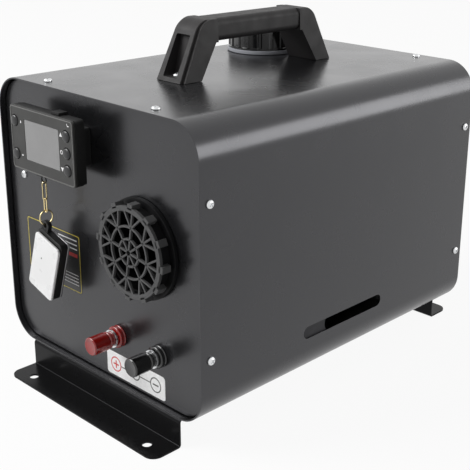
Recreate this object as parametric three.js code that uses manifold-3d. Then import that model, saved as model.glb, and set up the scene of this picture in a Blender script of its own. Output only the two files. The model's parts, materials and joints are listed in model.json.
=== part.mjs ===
// A portable diesel air heater in a sheet-metal case: wrap-round case, recessed end panels, folded
// feet, carrying handle, fuel tank with a screw cap, warm-air outlet with a twist-off grille, wired
// controller with five keys, two binding posts, a key-ring remote, and the heater unit inside.
// Millimetres. +X is to the right seen from the front, +Y to the back, +Z up, and the ground is z = 0.
import * as THREE from 'three';
import { mergeVertices } from 'three/addons/utils/BufferGeometryUtils.js';
import Module from 'manifold-3d';

const wasm = await Module();
wasm.setup();

// ---------------------------------------------------------------- driving sizes
const seatGap = 0.3; // air left between two pieces that rest on each other

const caseWidth = 290;
const caseHeight = 275;
const caseDepth = 395;
const caseRadius = 32;
const caseSheet = 1.5;
const caseCornerSteps = 5; // flats round each corner
const panelRecess = 6; // from the case's edge in to the panel's face
const panelFlange = 22; // depth of the panel's folded rim
const sideSlotLength = 118;
const sideSlotHeight = 12.5;
const sideSlotFromFront = 190.5; // to the slot's middle
const sideSlotAboveFloor = 49;

const screwHeadRadius = 4;
const screwHeadHeight = 2.4;
const screwShankRadius = 1.9;
const screwShankLength = 7;
const screwHoleRadius = 2.2;
const screwSides = 8;
const sideScrewInset = 11; // from the case's edge
const sideScrewHeights = { upper: 208, lower: 66 };
const topScrewInset = 13;
const topScrewHalfSpacing = 78;

const footHeight = 30;
const footLength = 228;
const footSheet = 2;
const footReach = 31; // how far the flange stands out past the case
const footSetback = 0.5; // of the web behind the case's edge
const footTopFlange = 24;
const footCornerRadius = 11;
const footHoleRadius = 4.5;
const footHoleSpacing = 180;
const footHoleFromWeb = 18;

const handleLength = 214;
const handleHeight = 56;
const handleWidth = 40;
const handleLean = 27; // how far each end leans in over its height
const handleCornerRadius = 14;
const handleFromMiddle = 3;
const legThickness = 25;
const legStep = 3.5; // rebate down each outer corner of a leg
const legFloor = 4;
const pocketWidth = 20;
const pocketHeight = 40;
const pocketDepth = 17;
const pocketSlant = 8; // how much deeper the pocket is at its top
const handleScrewFromPocket = 3; // of the screw from the middle of the pocket's floor
const gripLength = 116;
const gripWidth = 32;
const gripHeight = 22;
const gripRadius = 7;
const gripShoulder = 3; // from the grip's end to the leg's inner edge below it
const tenonLength = 8;
const tenonWidth = 20;
const tenonHeight = 12;

const capFromHandle = 7.5; // between the filler's ring and the handle's side
const capY = 91;
const capRadius = 37.5;
const capHeight = 23;
const capRibs = 18;
const capRibHeight = 1.6;
const capRibWidth = 4;
const capEdge = 2; // bevel round the cap's top
const capFit = 2.5; // between the neck and the inside of the cap
const neckRadius = 30;
const neckWall = 3;
const neckAboveCase = 17;
const neckHoleFit = 1.5;
const fillerRingRadius = 38.5;
const fillerRingHeight = 4;
const sealHeight = 2;

const tankWidth = 112;
const tankLength = 220;
const tankHeight = 212;
const tankRadius = 24;
const tankWall = 3;
const tankY = 40;
const fuelBossRadius = 4;
const pumpToTank = 18; // length of the tank's outlet boss
const pumpTail = 8; // length of the pump's hose tails
const pumpLift = 20; // above the case's floor
const pumpRadius = 14;
const pumpLength = 70;
const fuelLineRadius = 2.5;

const outletFromSide = 80; // of the outlet's middle from the case's right side
const outletZ = 149; // above the case's floor
const outletBore = 35.5;
const outletTube = 2; // wall of the collar's tube
const collarFlangeRadius = 47;
const collarFlange = 4;
const collarNose = 8; // tube in front of the collar's flange
const collarTail = 30; // tube behind the panel's face
const grilleRimWidth = 4.7;
const grilleDepth = 12.7;
const grilleWeb = 2.6; // thickness of the web across the face
const grilleBar = 1.7;
const grilleSpokes = 8;
const grilleInnerRing = 12.5;
const grilleMiddleRing = 24;
const grilleFan = 16; // degrees between a node's three outer bars
const grilleLugs = 12;
const grilleLugReach = 3;
const grilleLugWidth = 6;
const grilleHub = 2.6;
const grilleFirstSpoke = 10; // degrees
const grilleFirstLug = 5; // degrees
const guardRings = [14, 33]; // middle radii of the intake guard's rings
const guardBar = 2.8;
const guardThickness = 3;
const guardFlange = 7; // past the intake's edge
const guardRibs = 3; // across the whole guard

const controllerFromSide = 103.5; // of its middle from the case's left side
const controllerZ = 227; // above the case's floor
const controllerWidth = 98;
const controllerHeight = 61;
const controllerRadius = 3.5;
const controllerFace = 22; // in front of the case's edge
const bezelThickness = 2.6;
const housingThickness = 7;
const cradleWidth = 96;
const cradleHeight = 60;
const cradlePlate = 3;
const cradleBlockInset = 12; // of the block behind the plate from the plate's edge
const screenWidth = 53;
const screenHeight = 38;
const keyRadius = 5.2;
const keyStandsOut = 1.8;
const keyTravel = 0.8;
const keyRim = 0.8; // width and thickness of the rim that holds a key in behind the bezel
const keySpots = {
  menu_button: [-42, 15.8],
  ok_button: [-42, -15.8],
  up_button: [38.3, 15.3],
  power_button: [38.3, -0.5],
  down_button: [38.3, -16.3],
};

const postZ = 50; // above the case's floor
const redPostX = 25;
const blackPostX = 83;
const postFlangeRadius = 10.6;
const postFlange = 7;
const postBushRadius = 5;
const postBushLength = 9;
const studRadius = 3;
const postSides = 16;
const washerRadius = 8.8;
const washerHeight = 1.6;
const postKnobLength = 23.4;
const postKnobEnd = 4; // thickness of the knob's closed front
const postKnobRadius = 8.8;
const postWaistRadius = 7.2;
const postWaistLength = 6;
const postKnobGap = 1.4; // bare stud between the flange and the washer

const hookX = -54;
const hookFront = 14; // in front of the case's edge
const wireRadius = 0.75;
const eyeletRadius = 3.6;
const linkWidth = 5.4;
const upperLinkLength = 20;
const lowerLinkLength = 15;
const keyRingRadius = 7;
const remoteWidth = 38;
const remoteLength = 64;
const remoteCore = 7.4;
const remoteCover = 2.8;
const remoteBack = 2;
const remoteRadius = 4;
const remoteCoverDrop = 4; // of the sliding cover's top edge below the body's
const remoteEyeFromSide = 7;
const remoteEyeRadius = 2.4;
const remoteEyePlay = 0.9; // of the eye's middle below the wire in it
const remoteEar = 4.4;

const shellWidth = 118;
const shellRadius = 24;
const shellWall = 2.5;
const shellFront = 66; // behind the case's front edge
const shellLength = 288;
const exchangerCore = 33;
const exchangerFins = 12;
const exchangerFin = 2.4;
const exchangerLength = 165;
const exchangerFromShell = 22;
const exchangerNose = 14; // length of its cone
const exhaustFromExchanger = 60;
const airFromExchanger = 20; // before its rear end
const motorRadius = 21;
const motorLength = 42;
const motorGap = 6; // from the exchanger
const motorArmWidth = 6;
const motorArmLength = 8;
const shaftReach = 16; // of the fan's shaft into the motor
const fanBlades = 7;
const fanHubRadius = 15;
const fanHubLength = 22;
const fanRadius = 52;
const fanShaftRadius = 3;
const fanBladeChord = 24;
const fanBladeThickness = 2;
const fanBladePitch = 38; // degrees
const fanGap = 3; // from the motor
const fanHubEdge = 5;
const pipeRadius = 12;
const pipeWall = 1.5;
const pipeBend = 26; // radius of its middle line
const pipeSides = 10;
const pipeHeight = 32; // above the case's floor, where they leave the back
const exhaustOffset = -19; // from the heater's middle, to the side
const airPipeOffset = 27;
const bracketFromShell = 12; // behind the shell's front
const bracketToPipe = 8; // from the bracket's rear end to the exhaust pipe
const controlUnitSize = [70, 96, 20];
const controlUnitFromShell = 90; // of its middle behind the shell's front
const pipeStub = 16; // past the rear panel's face

// ---------------------------------------------------------------- derived places
const outletX = caseWidth / 2 - outletFromSide;
const capX = -(handleWidth / 2 + capFromHandle + fillerRingRadius);
const controllerX = controllerFromSide - caseWidth / 2;
const exhaustX = outletX + exhaustOffset;
const airPipeX = outletX + airPipeOffset;
const floorZ = footHeight;
const topZ = floorZ + caseHeight;
const front = -caseDepth / 2;
const back = caseDepth / 2;
const panelFace = front + panelRecess;
const rearFace = back - panelRecess;
const insideFloor = floorZ + caseSheet + seatGap;
const pumpX = capX;
const pumpRear = tankY - tankLength / 2 - pumpToTank - seatGap;
const panelFit = caseSheet + seatGap;
const grilleFront = panelFace - seatGap - collarFlange - seatGap - grilleDepth;

// ---------------------------------------------------------------- solids
function solidOf(geometry) {
  const plain = new THREE.BufferGeometry();
  const loose = geometry.index ? geometry.toNonIndexed() : geometry;
  plain.setAttribute('position', loose.getAttribute('position'));
  const merged = mergeVertices(plain, 1e-4);
  const corners = merged.index.array;
  const faces = [];
  for (let i = 0; i < corners.length; i += 3) {
    const [a, b, c] = [corners[i], corners[i + 1], corners[i + 2]];
    if (a !== b && b !== c && c !== a) faces.push(a, b, c);
  }
  const vertProperties = merged.attributes.position.array;
  const make = (list) =>
    new wasm.Manifold(new wasm.Mesh({ numProp: 3, vertProperties, triVerts: new Uint32Array(list) }));
  const made = make(faces);
  if (made.volume() > 0) return made;
  for (let i = 0; i < faces.length; i += 3) [faces[i], faces[i + 1]] = [faces[i + 1], faces[i]];
  return make(faces);
}

function geometryOf(solid) {
  const mesh = solid.getMesh();
  const points = new Float32Array(mesh.numVert * 3);
  for (let i = 0; i < mesh.numVert; i++) {
    points.set(mesh.vertProperties.subarray(i * mesh.numProp, i * mesh.numProp + 3), i * 3);
  }
  const indexed = new THREE.BufferGeometry();
  indexed.setAttribute('position', new THREE.BufferAttribute(points, 3));
  indexed.setIndex(new THREE.BufferAttribute(new Uint32Array(mesh.triVerts), 1));
  const flat = indexed.toNonIndexed();
  flat.computeVertexNormals();
  return flat;
}

const join = (first, ...rest) => rest.reduce((sum, next) => sum.add(next), first);
const cut = (first, ...rest) => rest.reduce((left, next) => left.subtract(next), first);
const degrees = THREE.MathUtils.degToRad;

// ---------------------------------------------------------------- outlines and prisms
function roundedRect(width, height, radius, x = 0, y = 0, into = new THREE.Shape()) {
  const [l, r, b, t] = [x - width / 2, x + width / 2, y - height / 2, y + height / 2];
  into.moveTo(l + radius, b);
  into.lineTo(r - radius, b);
  into.absarc(r - radius, b + radius, radius, -Math.PI / 2, 0);
  into.lineTo(r, t - radius);
  into.absarc(r - radius, t - radius, radius, 0, Math.PI / 2);
  into.lineTo(l + radius, t);
  into.absarc(l + radius, t - radius, radius, Math.PI / 2, Math.PI);
  into.lineTo(l, b + radius);
  into.absarc(l + radius, b + radius, radius, Math.PI, Math.PI * 1.5);
  return into;
}

function polygon(points) {
  return new THREE.Shape(points.map(([x, y]) => new THREE.Vector2(x, y)));
}

function extruded(shape, depth, curveSegments) {
  return new THREE.ExtrudeGeometry(shape, { depth, curveSegments, bevelEnabled: false });
}

// The outline is drawn in X and Z, and runs from y0 to y1.
function prismY(shape, y0, y1, curveSegments = 6) {
  return solidOf(extruded(shape, y1 - y0, curveSegments).rotateX(Math.PI / 2).translate(0, y1, 0));
}

// The outline is drawn in Y and Z, and runs from x0 to x1.
function prismX(shape, x0, x1, curveSegments = 6) {
  const turn = new THREE.Matrix4().makeBasis(
    new THREE.Vector3(0, 1, 0),
    new THREE.Vector3(0, 0, 1),
    new THREE.Vector3(1, 0, 0),
  );
  return solidOf(extruded(shape, x1 - x0, curveSegments).applyMatrix4(turn).translate(x0, 0, 0));
}

// The outline is drawn in X and Y, and runs from z0 to z1.
function prismZ(shape, z0, z1, curveSegments = 6) {
  return solidOf(extruded(shape, z1 - z0, curveSegments).translate(0, 0, z0));
}

// A profile of [radius, height] pairs turned round the Z axis, or round Y with its heights along +Y.
function turnedZ(profile, segments = 32) {
  return turned(profile, segments, (g) => g.rotateX(Math.PI / 2));
}

function turnedY(profile, segments = 32) {
  return turned(profile, segments, (g) => g);
}

function turned(profile, segments, place) {
  const points = profile.map(([r, h]) => new THREE.Vector2(r, h));
  points.push(points[0].clone());
  return solidOf(place(new THREE.LatheGeometry(points, segments)));
}

// A plain rod between two heights, and a tube.
const rodProfile = (r, h0, h1) => [[0, h0], [r, h0], [r, h1], [0, h1]];
const tubeProfile = (inner, outer, h0, h1) => [[inner, h0], [outer, h0], [outer, h1], [inner, h1]];

// ---------------------------------------------------------------- materials and meshes
function material(color, roughness, metalness) {
  return new THREE.MeshStandardMaterial({ color, roughness, metalness });
}

const finishes = {
  blackSheet: () => material(0x2b2b2d, 0.42, 0.3),
  handlePlastic: () => material(0x262527, 0.6, 0),
  blackPlastic: () => material(0x141415, 0.5, 0),
  greyPlastic: () => material(0x4a4a49, 0.55, 0),
  ringPlastic: () => material(0xa9abb0, 0.45, 0),
  screenGlass: () => material(0x8f8f8f, 0.2, 0),
  zinc: () => material(0xc9cbcc, 0.3, 0.9),
  redPlastic: () => material(0x9c120e, 0.35, 0),
  gloss: () => material(0x0c0c0c, 0.3, 0),
  gold: () => material(0xcdb98a, 0.3, 0.9),
  whitePlastic: () => material(0xe9e9e8, 0.35, 0),
  silver: () => material(0x9a9b9c, 0.35, 0.6),
  tankPlastic: () => material(0xd9d8cf, 0.5, 0),
  rubber: () => material(0x1b1b1b, 0.8, 0),
  aluminium: () => material(0xb4b5b6, 0.5, 0.8),
  steel: () => material(0xa7a5a0, 0.4, 0.85),
  tube: () => material(0x3f4a40, 0.5, 0),
};

function piece(name, solid, finish) {
  const mesh = new THREE.Mesh(geometryOf(solid), finishes[finish]());
  mesh.name = name;
  return mesh;
}

const heater = new THREE.Group();

// ---------------------------------------------------------------- screws
// A pan-head screw on the Z axis: its head stands above z = 0 and its shank goes down.
function panHeadScrew() {
  const shoulder = 0.6 * screwHeadHeight;
  return turnedZ([[0, -screwShankLength], [screwShankRadius, -screwShankLength], [screwShankRadius, 0],
    [screwHeadRadius, 0], [screwHeadRadius, shoulder], [0, screwHeadHeight]], screwSides);
}

function screw(name, place, rotation) {
  const mesh = piece(name, panHeadScrew(), 'zinc');
  mesh.position.set(...place);
  mesh.rotation.set(...rotation);
  return mesh;
}

const endInsets = { front: front + sideScrewInset, back: back - sideScrewInset };
const topEndInsets = { front: front + topScrewInset, back: back - topScrewInset };

function caseScrews() {
  const group = new THREE.Group();
  for (const [end, y] of Object.entries(endInsets)) {
    for (const [level, height] of Object.entries(sideScrewHeights)) {
      for (const [side, sign] of [['left', -1], ['right', 1]]) {
        const place = [sign * (caseWidth / 2 + seatGap), y, floorZ + height];
        group.add(screw(`${side}_${end}_${level}_screw`, place, [0, (sign * Math.PI) / 2, 0]));
      }
    }
  }
  for (const [end, y] of Object.entries(topEndInsets)) {
    for (const [side, sign] of [['left', -1], ['right', 1]]) {
      const place = [sign * topScrewHalfSpacing, y, topZ + seatGap];
      group.add(screw(`top_${end}_${side}_screw`, place, [0, 0, 0]));
    }
  }
  return group;
}

// Every screw's clearance hole, through the case and the panels' rims alike.
function screwHoles() {
  const reach = screwShankLength + 2;
  const holes = [];
  for (const y of Object.values(endInsets)) {
    for (const height of Object.values(sideScrewHeights)) {
      for (const sign of [-1, 1]) {
        const hole = new THREE.CylinderGeometry(screwHoleRadius, screwHoleRadius, 2 * reach, screwSides);
        hole.rotateZ(Math.PI / 2).translate((sign * caseWidth) / 2, y, floorZ + height);
        holes.push(solidOf(hole));
      }
    }
  }
  for (const y of Object.values(topEndInsets)) {
    for (const sign of [-1, 1]) {
      holes.push(verticalHole(sign * topScrewHalfSpacing, y, topZ, reach));
    }
  }
  return holes;
}

function verticalHole(x, y, z, reach) {
  const hole = new THREE.CylinderGeometry(screwHoleRadius, screwHoleRadius, 2 * reach, screwSides);
  return solidOf(hole.rotateX(Math.PI / 2).translate(x, y, z));
}

// ---------------------------------------------------------------- case and end panels
function caseOutline(inset, radius = caseRadius - inset) {
  return [caseWidth - 2 * inset, caseHeight - 2 * inset, radius, 0, floorZ + caseHeight / 2];
}

function sideSlot() {
  const radius = sideSlotHeight / 2 - 0.01;
  const y = front + sideSlotFromFront;
  const outline = roundedRect(sideSlotLength, sideSlotHeight, radius, y, floorZ + sideSlotAboveFloor);
  return prismX(outline, -caseWidth, caseWidth, 4);
}

function handleScrewPlaces() {
  const reach = handleLength / 2 - pocketDepth / 2 - handleScrewFromPocket;
  return [-1, 1].map((sign) => handleFromMiddle + sign * reach);
}

function caseWrap() {
  const skin = roundedRect(...caseOutline(0));
  skin.holes.push(roundedRect(...caseOutline(caseSheet), new THREE.Path()));
  const wrap = prismY(skin, front, back, caseCornerSteps);
  const capHoleRadius = neckRadius + neckHoleFit;
  const capHole = new THREE.CylinderGeometry(capHoleRadius, capHoleRadius, 4 * capFit, 24);
  const holes = [
    sideSlot(),
    solidOf(capHole.rotateX(Math.PI / 2).translate(capX, capY, topZ)),
    ...handleScrewPlaces().map((y) => verticalHole(0, y, topZ, screwShankLength + 2)),
    ...screwHoles(),
  ];
  return piece('case_wrap', cut(wrap, ...holes), 'blackSheet');
}

// A tray-shaped end panel: a flat plate with a rim folded back all round.
function endPanel(face, inward) {
  const plate = [face, face + inward * caseSheet].sort((a, b) => a - b);
  const rim = [face, face + inward * panelFlange].sort((a, b) => a - b);
  const outline = roundedRect(...caseOutline(panelFit));
  const ring = roundedRect(...caseOutline(panelFit));
  ring.holes.push(roundedRect(...caseOutline(panelFit + caseSheet), new THREE.Path()));
  return join(prismY(outline, ...plate, caseCornerSteps), prismY(ring, ...rim, caseCornerSteps));
}

function throughY(x, z, y, radius, segments = 24) {
  const hole = new THREE.CylinderGeometry(radius, radius, 2 * panelFlange, segments);
  return solidOf(hole.translate(x, y, z));
}

function frontPanel() {
  const postHole = postBushRadius + seatGap;
  const holes = [
    throughY(outletX, floorZ + outletZ, panelFace, outletBore + outletTube + 2 * seatGap, 24),
    ...[redPostX, blackPostX].map((x) => throughY(x, floorZ + postZ, panelFace, postHole, 12)),
  ];
  return piece('front_panel', cut(endPanel(panelFace, 1), ...holes, ...screwHoles()), 'blackSheet');
}

const intakeRadius = fanRadius;

function rearPanel() {
  const holes = [
    throughY(outletX, floorZ + outletZ, rearFace, intakeRadius, 24),
    ...[exhaustX, airPipeX].map((x) => throughY(x, floorZ + pipeHeight, rearFace, pipeRadius + 1, 16)),
  ];
  return piece('rear_panel', cut(endPanel(rearFace, -1), ...holes, ...screwHoles()), 'blackSheet');
}

// A moulded finger guard over the fan's intake: rings on ribs, with a flat outer flange.
function rearGrille() {
  const y = [rearFace + seatGap, rearFace + seatGap + guardThickness];
  const half = guardBar / 2;
  const rings = guardRings.map((r) => turnedY(tubeProfile(r - half, r + half, ...y), 12));
  const flange = turnedY(tubeProfile(intakeRadius - half, intakeRadius + guardFlange, ...y), 24);
  const ribs = [];
  for (let i = 0; i < guardRibs; i++) {
    const bar = new THREE.BoxGeometry(2 * intakeRadius, guardThickness, guardBar);
    ribs.push(solidOf(bar.translate(0, (y[0] + y[1]) / 2, 0).rotateY((i * Math.PI) / guardRibs)));
  }
  const mesh = piece('rear_intake_grille', join(flange, ...rings, ...ribs), 'blackPlastic');
  mesh.position.set(outletX, 0, floorZ + outletZ);
  return mesh;
}

// ---------------------------------------------------------------- feet
// A Z-shaped bracket: top flange under the case, upright web, and bottom flange turned outwards.
function footBracket(name, turnedRound) {
  const web = front + footSetback;
  const top = footHeight - seatGap;
  const t = footSheet;
  const upright = polygon([
    [web, 0], [web + t, 0], [web + t, top - t], [web + footTopFlange, top - t],
    [web + footTopFlange, top], [web, top],
  ]);
  const outerY = front - footReach;
  const inner = web + t;
  const flangeOutline = new THREE.Shape();
  const [half, r] = [footLength / 2, footCornerRadius];
  flangeOutline.moveTo(-half, inner);
  flangeOutline.lineTo(-half, outerY + r);
  flangeOutline.absarc(-half + r, outerY + r, r, Math.PI, Math.PI * 1.5);
  flangeOutline.lineTo(half - r, outerY);
  flangeOutline.absarc(half - r, outerY + r, r, Math.PI * 1.5, Math.PI * 2);
  flangeOutline.lineTo(half, inner);
  for (const sign of [-1, 1]) {
    const hole = new THREE.Path();
    const x = (sign * footHoleSpacing) / 2;
    hole.absarc(x, web - footHoleFromWeb, footHoleRadius, 0, Math.PI * 2);
    flangeOutline.holes.push(hole);
  }
  const bracket = join(prismX(upright, -half, half), prismZ(flangeOutline, 0, t, 5));
  const mesh = piece(name, bracket, 'blackSheet');
  if (turnedRound) mesh.rotation.z = Math.PI;
  return mesh;
}

// ---------------------------------------------------------------- handle
// Side outline of one leg in (distance out from the handle's middle, height).
function legOutline(inset) {
  const foot = handleLength / 2 - inset;
  const r = handleCornerRadius;
  const slant = Math.hypot(handleHeight, handleLean);
  const centre = foot - (r * slant + (handleHeight - r) * handleLean) / handleHeight;
  const shape = new THREE.Shape();
  const turn = Math.atan2(handleLean, handleHeight);
  shape.moveTo(foot, 0);
  shape.lineTo(centre + r * Math.cos(turn), handleHeight - r + r * Math.sin(turn));
  shape.absarc(centre, handleHeight - r, r, turn, Math.PI / 2);
  shape.lineTo(gripLength / 2, handleHeight);
  shape.lineTo(gripLength / 2, handleHeight - gripHeight);
  shape.lineTo(gripLength / 2 + gripShoulder, handleHeight - gripHeight);
  shape.lineTo(handleLength / 2 - legThickness, 0);
  return shape;
}

function handleLeg(name, sign) {
  const half = handleWidth / 2;
  const core = prismX(legOutline(0), -half + legStep, half - legStep, 5);
  const cheeks = prismX(legOutline(legStep), -half, half, 5);
  const outer = handleLength / 2;
  const pocketTop = legFloor + pocketHeight;
  const pocket = prismX(polygon([
    [outer + 1, legFloor], [outer - pocketDepth, legFloor],
    [outer - pocketDepth - pocketSlant, pocketTop], [outer + 1, pocketTop],
  ]), -pocketWidth / 2, pocketWidth / 2);
  const fit = 2 * seatGap;
  const socket = prismX(roundedRect(2 * (tenonLength + seatGap), tenonHeight + fit, 1,
    gripLength / 2, handleHeight - gripHeight / 2), -tenonWidth / 2 - seatGap, tenonWidth / 2 + seatGap, 1);
  const bolt = verticalHole(0, outer - pocketDepth / 2 - handleScrewFromPocket, 0, 3 * legFloor);
  const leg = cut(join(core, cheeks), pocket, socket, bolt);
  const mesh = piece(name, leg, 'handlePlastic');
  mesh.position.set(0, handleFromMiddle, topZ + seatGap);
  if (sign < 0) mesh.rotation.z = Math.PI;
  return mesh;
}

function handleGrip() {
  const z = handleHeight - gripHeight / 2;
  const half = gripLength / 2 - seatGap;
  const bar = prismY(roundedRect(gripWidth, gripHeight, gripRadius, 0, z), -half, half, 4);
  const reach = half + tenonLength;
  const tenons = prismY(roundedRect(tenonWidth, tenonHeight, 1, 0, z), -reach, reach, 1);
  const mesh = piece('handle_grip', join(bar, tenons), 'handlePlastic');
  mesh.position.set(0, handleFromMiddle, topZ + seatGap);
  return mesh;
}

function handleScrews() {
  const group = new THREE.Group();
  const z = topZ + legFloor + 2 * seatGap;
  handleScrewPlaces().forEach((y, i) => {
    group.add(screw(['handle_front_screw', 'handle_rear_screw'][i], [0, y, z], [0, 0, 0]));
  });
  return group;
}

// ---------------------------------------------------------------- fuel tank and cap
const neckTop = topZ + neckAboveCase;

function fuelTank() {
  const middle = insideFloor + tankHeight / 2;
  const [y0, y1] = [tankY - tankLength / 2, tankY + tankLength / 2];
  const outline = (wall) =>
    roundedRect(tankWidth - 2 * wall, tankHeight - 2 * wall, tankRadius - wall, capX, middle);
  const tub = prismY(outline(0), y0, y1, 4);
  const space = prismY(outline(tankWall), y0 + tankWall, y1 - tankWall, 4);
  const tankTop = insideFloor + tankHeight;
  const neck = turnedZ(rodProfile(neckRadius, tankTop - tankWall, neckTop), 24);
  const bore = turnedZ(rodProfile(neckRadius - neckWall, tankTop - 2 * tankWall, neckTop + 1), 24);
  const outletBoss = turnedY(rodProfile(fuelBossRadius, 0, pumpToTank + 1), 8)
    .translate([pumpX, y0 - pumpToTank, insideFloor + pumpLift]);
  const outside = join(tub, neck.translate([capX, capY, 0]), outletBoss);
  return piece('fuel_tank', cut(outside, space, bore.translate([capX, capY, 0])), 'tankPlastic');
}

function fillerRing() {
  const z0 = topZ + seatGap;
  const ring = turnedZ(tubeProfile(neckRadius + seatGap, fillerRingRadius, z0, z0 + fillerRingHeight), 28);
  return piece('filler_ring', ring.translate([capX, capY, 0]), 'ringPlastic');
}

const sealBottom = neckTop + seatGap;
const capInner = neckRadius + capFit;

function capSeal() {
  const ring = turnedZ(tubeProfile(neckRadius - 2 * neckWall, capInner - seatGap,
    sealBottom, sealBottom + sealHeight), 20);
  return piece('cap_seal', ring.translate([capX, capY, 0]), 'rubber');
}

function fuelCap() {
  const z0 = topZ + seatGap + fillerRingHeight + seatGap;
  const z1 = z0 + capHeight;
  const roof = sealBottom + sealHeight + seatGap;
  const body = capRadius - capRibHeight;
  const shell = turnedZ([[0, roof], [capInner, roof], [capInner, z0], [body, z0], [body, z1 - capEdge],
    [body - capEdge, z1], [0, z1]], 28);
  const ribs = [];
  for (let i = 0; i < capRibs; i++) {
    const rib = new THREE.BoxGeometry(2 * capRibHeight, capRibWidth, capHeight - 1.5 * capEdge);
    rib.translate(body, 0, (z0 + z1 - capEdge) / 2).rotateZ((i / capRibs) * Math.PI * 2);
    ribs.push(solidOf(rib));
  }
  return piece('fuel_cap', join(shell, ...ribs).translate([capX, capY, 0]), 'blackPlastic');
}

// ---------------------------------------------------------------- warm-air outlet
function outletCollar() {
  const flangeFront = panelFace - seatGap - collarFlange;
  const [inner, outer] = [outletBore, outletBore + outletTube];
  const profile = [
    [inner, flangeFront - collarNose], [outer, flangeFront - collarNose], [outer, flangeFront],
    [collarFlangeRadius, flangeFront], [collarFlangeRadius, panelFace - seatGap],
    [outer, panelFace - seatGap], [outer, panelFace + collarTail], [inner, panelFace + collarTail],
  ];
  const mesh = piece('outlet_collar', turnedY(profile, 24), 'blackPlastic');
  mesh.position.set(outletX, 0, floorZ + outletZ);
  return mesh;
}

// A flat bar of the web between two points given as [radius, angle in degrees].
function webBar([r0, a0], [r1, a1], width) {
  const from = new THREE.Vector2(r0 * Math.cos(degrees(a0)), r0 * Math.sin(degrees(a0)));
  const to = new THREE.Vector2(r1 * Math.cos(degrees(a1)), r1 * Math.sin(degrees(a1)));
  const along = to.clone().sub(from);
  const bar = new THREE.BoxGeometry(along.length(), grilleWeb, width);
  bar.rotateY(-along.angle());
  return solidOf(bar.translate((from.x + to.x) / 2, grilleWeb / 2, (from.y + to.y) / 2));
}

// The twist-off grille: a deep rim with lugs, and a triangulated web across its face.
function outletGrille() {
  const inner = outletBore + outletTube + seatGap;
  const outer = inner + grilleRimWidth;
  const rings = [
    turnedY(tubeProfile(inner, outer, 0, grilleDepth), 32),
    turnedY(rodProfile(grilleHub, 0, grilleWeb), 8),
    ...[grilleInnerRing, grilleMiddleRing].map((r) =>
      turnedY(tubeProfile(r - grilleBar / 2, r + grilleBar / 2, 0, grilleWeb), 16)),
  ];
  const bars = [];
  for (let i = 0; i < grilleSpokes; i++) {
    const angle = grilleFirstSpoke + (i * 360) / grilleSpokes;
    bars.push(webBar([0, angle], [grilleMiddleRing, angle], grilleBar));
    for (const side of [-1, 0, 1]) {
      bars.push(webBar([grilleMiddleRing, angle], [inner + 1, angle + side * grilleFan], grilleBar));
    }
  }
  for (let i = 0; i < grilleLugs; i++) {
    const lug = new THREE.BoxGeometry(grilleLugReach + 2, grilleDepth - 1.5, grilleLugWidth);
    lug.translate(outer + grilleLugReach / 2 - 1, (grilleDepth - 1.5) / 2, 0);
    bars.push(solidOf(lug.rotateY(degrees(grilleFirstLug + (i * 360) / grilleLugs))));
  }
  const mesh = piece('outlet_grille', join(rings[0], ...rings.slice(1), ...bars), 'greyPlastic');
  mesh.position.set(outletX, grilleFront, floorZ + outletZ);
  return mesh;
}

// ---------------------------------------------------------------- controller
// Its group's origin is the middle of the bezel's face, and +Y goes back to the panel.
const controllerBackFace = bezelThickness + housingThickness + seatGap;
const cradleBack = controllerFace + panelRecess - seatGap;
const keyWellDepth = bezelThickness + seatGap + keyRim + keyTravel + seatGap;

function controller() {
  const group = new THREE.Group();
  group.position.set(controllerX, front - controllerFace, floorZ + controllerZ);
  const bezelShape = roundedRect(controllerWidth, controllerHeight, controllerRadius);
  bezelShape.holes.push(roundedRect(screenWidth + 2 * seatGap, screenHeight + 2 * seatGap, 1, 0, 0,
    new THREE.Path()));
  for (const [x, z] of Object.values(keySpots)) {
    const hole = new THREE.Path();
    hole.absarc(x, z, keyRadius + seatGap, 0, Math.PI * 2);
    bezelShape.holes.push(hole);
  }
  group.add(piece('controller_bezel', prismY(bezelShape, 0, bezelThickness, 5), 'greyPlastic'));

  const housing = prismY(roundedRect(controllerWidth, controllerHeight, controllerRadius),
    bezelThickness + seatGap, controllerBackFace, 4);
  const keyWells = Object.values(keySpots).map(([x, z]) =>
    turnedY(rodProfile(keyRadius + keyRim + 3 * seatGap, 0, keyWellDepth), 12).translate([x, 0, z]));
  group.add(piece('controller_housing', cut(housing, ...keyWells), 'blackPlastic'));

  const screen = prismY(roundedRect(screenWidth, screenHeight, 1), 0.2, bezelThickness, 1);
  group.add(piece('display_window', screen, 'screenGlass'));

  for (const [name, [x, z]] of Object.entries(keySpots)) {
    const rim = bezelThickness + seatGap;
    const key = turnedY([[0, -keyStandsOut], [keyRadius - 0.8, -keyStandsOut],
      [keyRadius, -keyStandsOut + 0.8], [keyRadius, rim], [keyRadius + keyRim, rim],
      [keyRadius + keyRim, rim + keyRim], [0, rim + keyRim]], 12);
    const mesh = piece(name, key, 'blackPlastic');
    mesh.position.set(x, 0, z);
    group.add(mesh);
  }
  group.add(controllerCradle());
  return group;
}

// The bracket behind the controller: a plate on a block, with clips over the top and bottom edges.
function controllerCradle() {
  const plateFront = controllerBackFace + seatGap;
  const plate = prismY(roundedRect(cradleWidth, cradleHeight, 3), plateFront, plateFront + cradlePlate, 3);
  const inset = 2 * cradleBlockInset;
  const blockOutline = roundedRect(cradleWidth - inset, cradleHeight - inset, 3);
  const block = prismY(blockOutline, plateFront + 1, cradleBack, 3);
  const clips = [[18, 1, 12], [-14, -1, 8]].map(([x, sign, width]) =>
    cradleClip(x, sign, width, plateFront));
  const parts = join(plate, block, ...clips, chainEyelet(hookX - controllerX, plateFront));
  return piece('controller_cradle', parts, 'blackPlastic');
}

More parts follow.
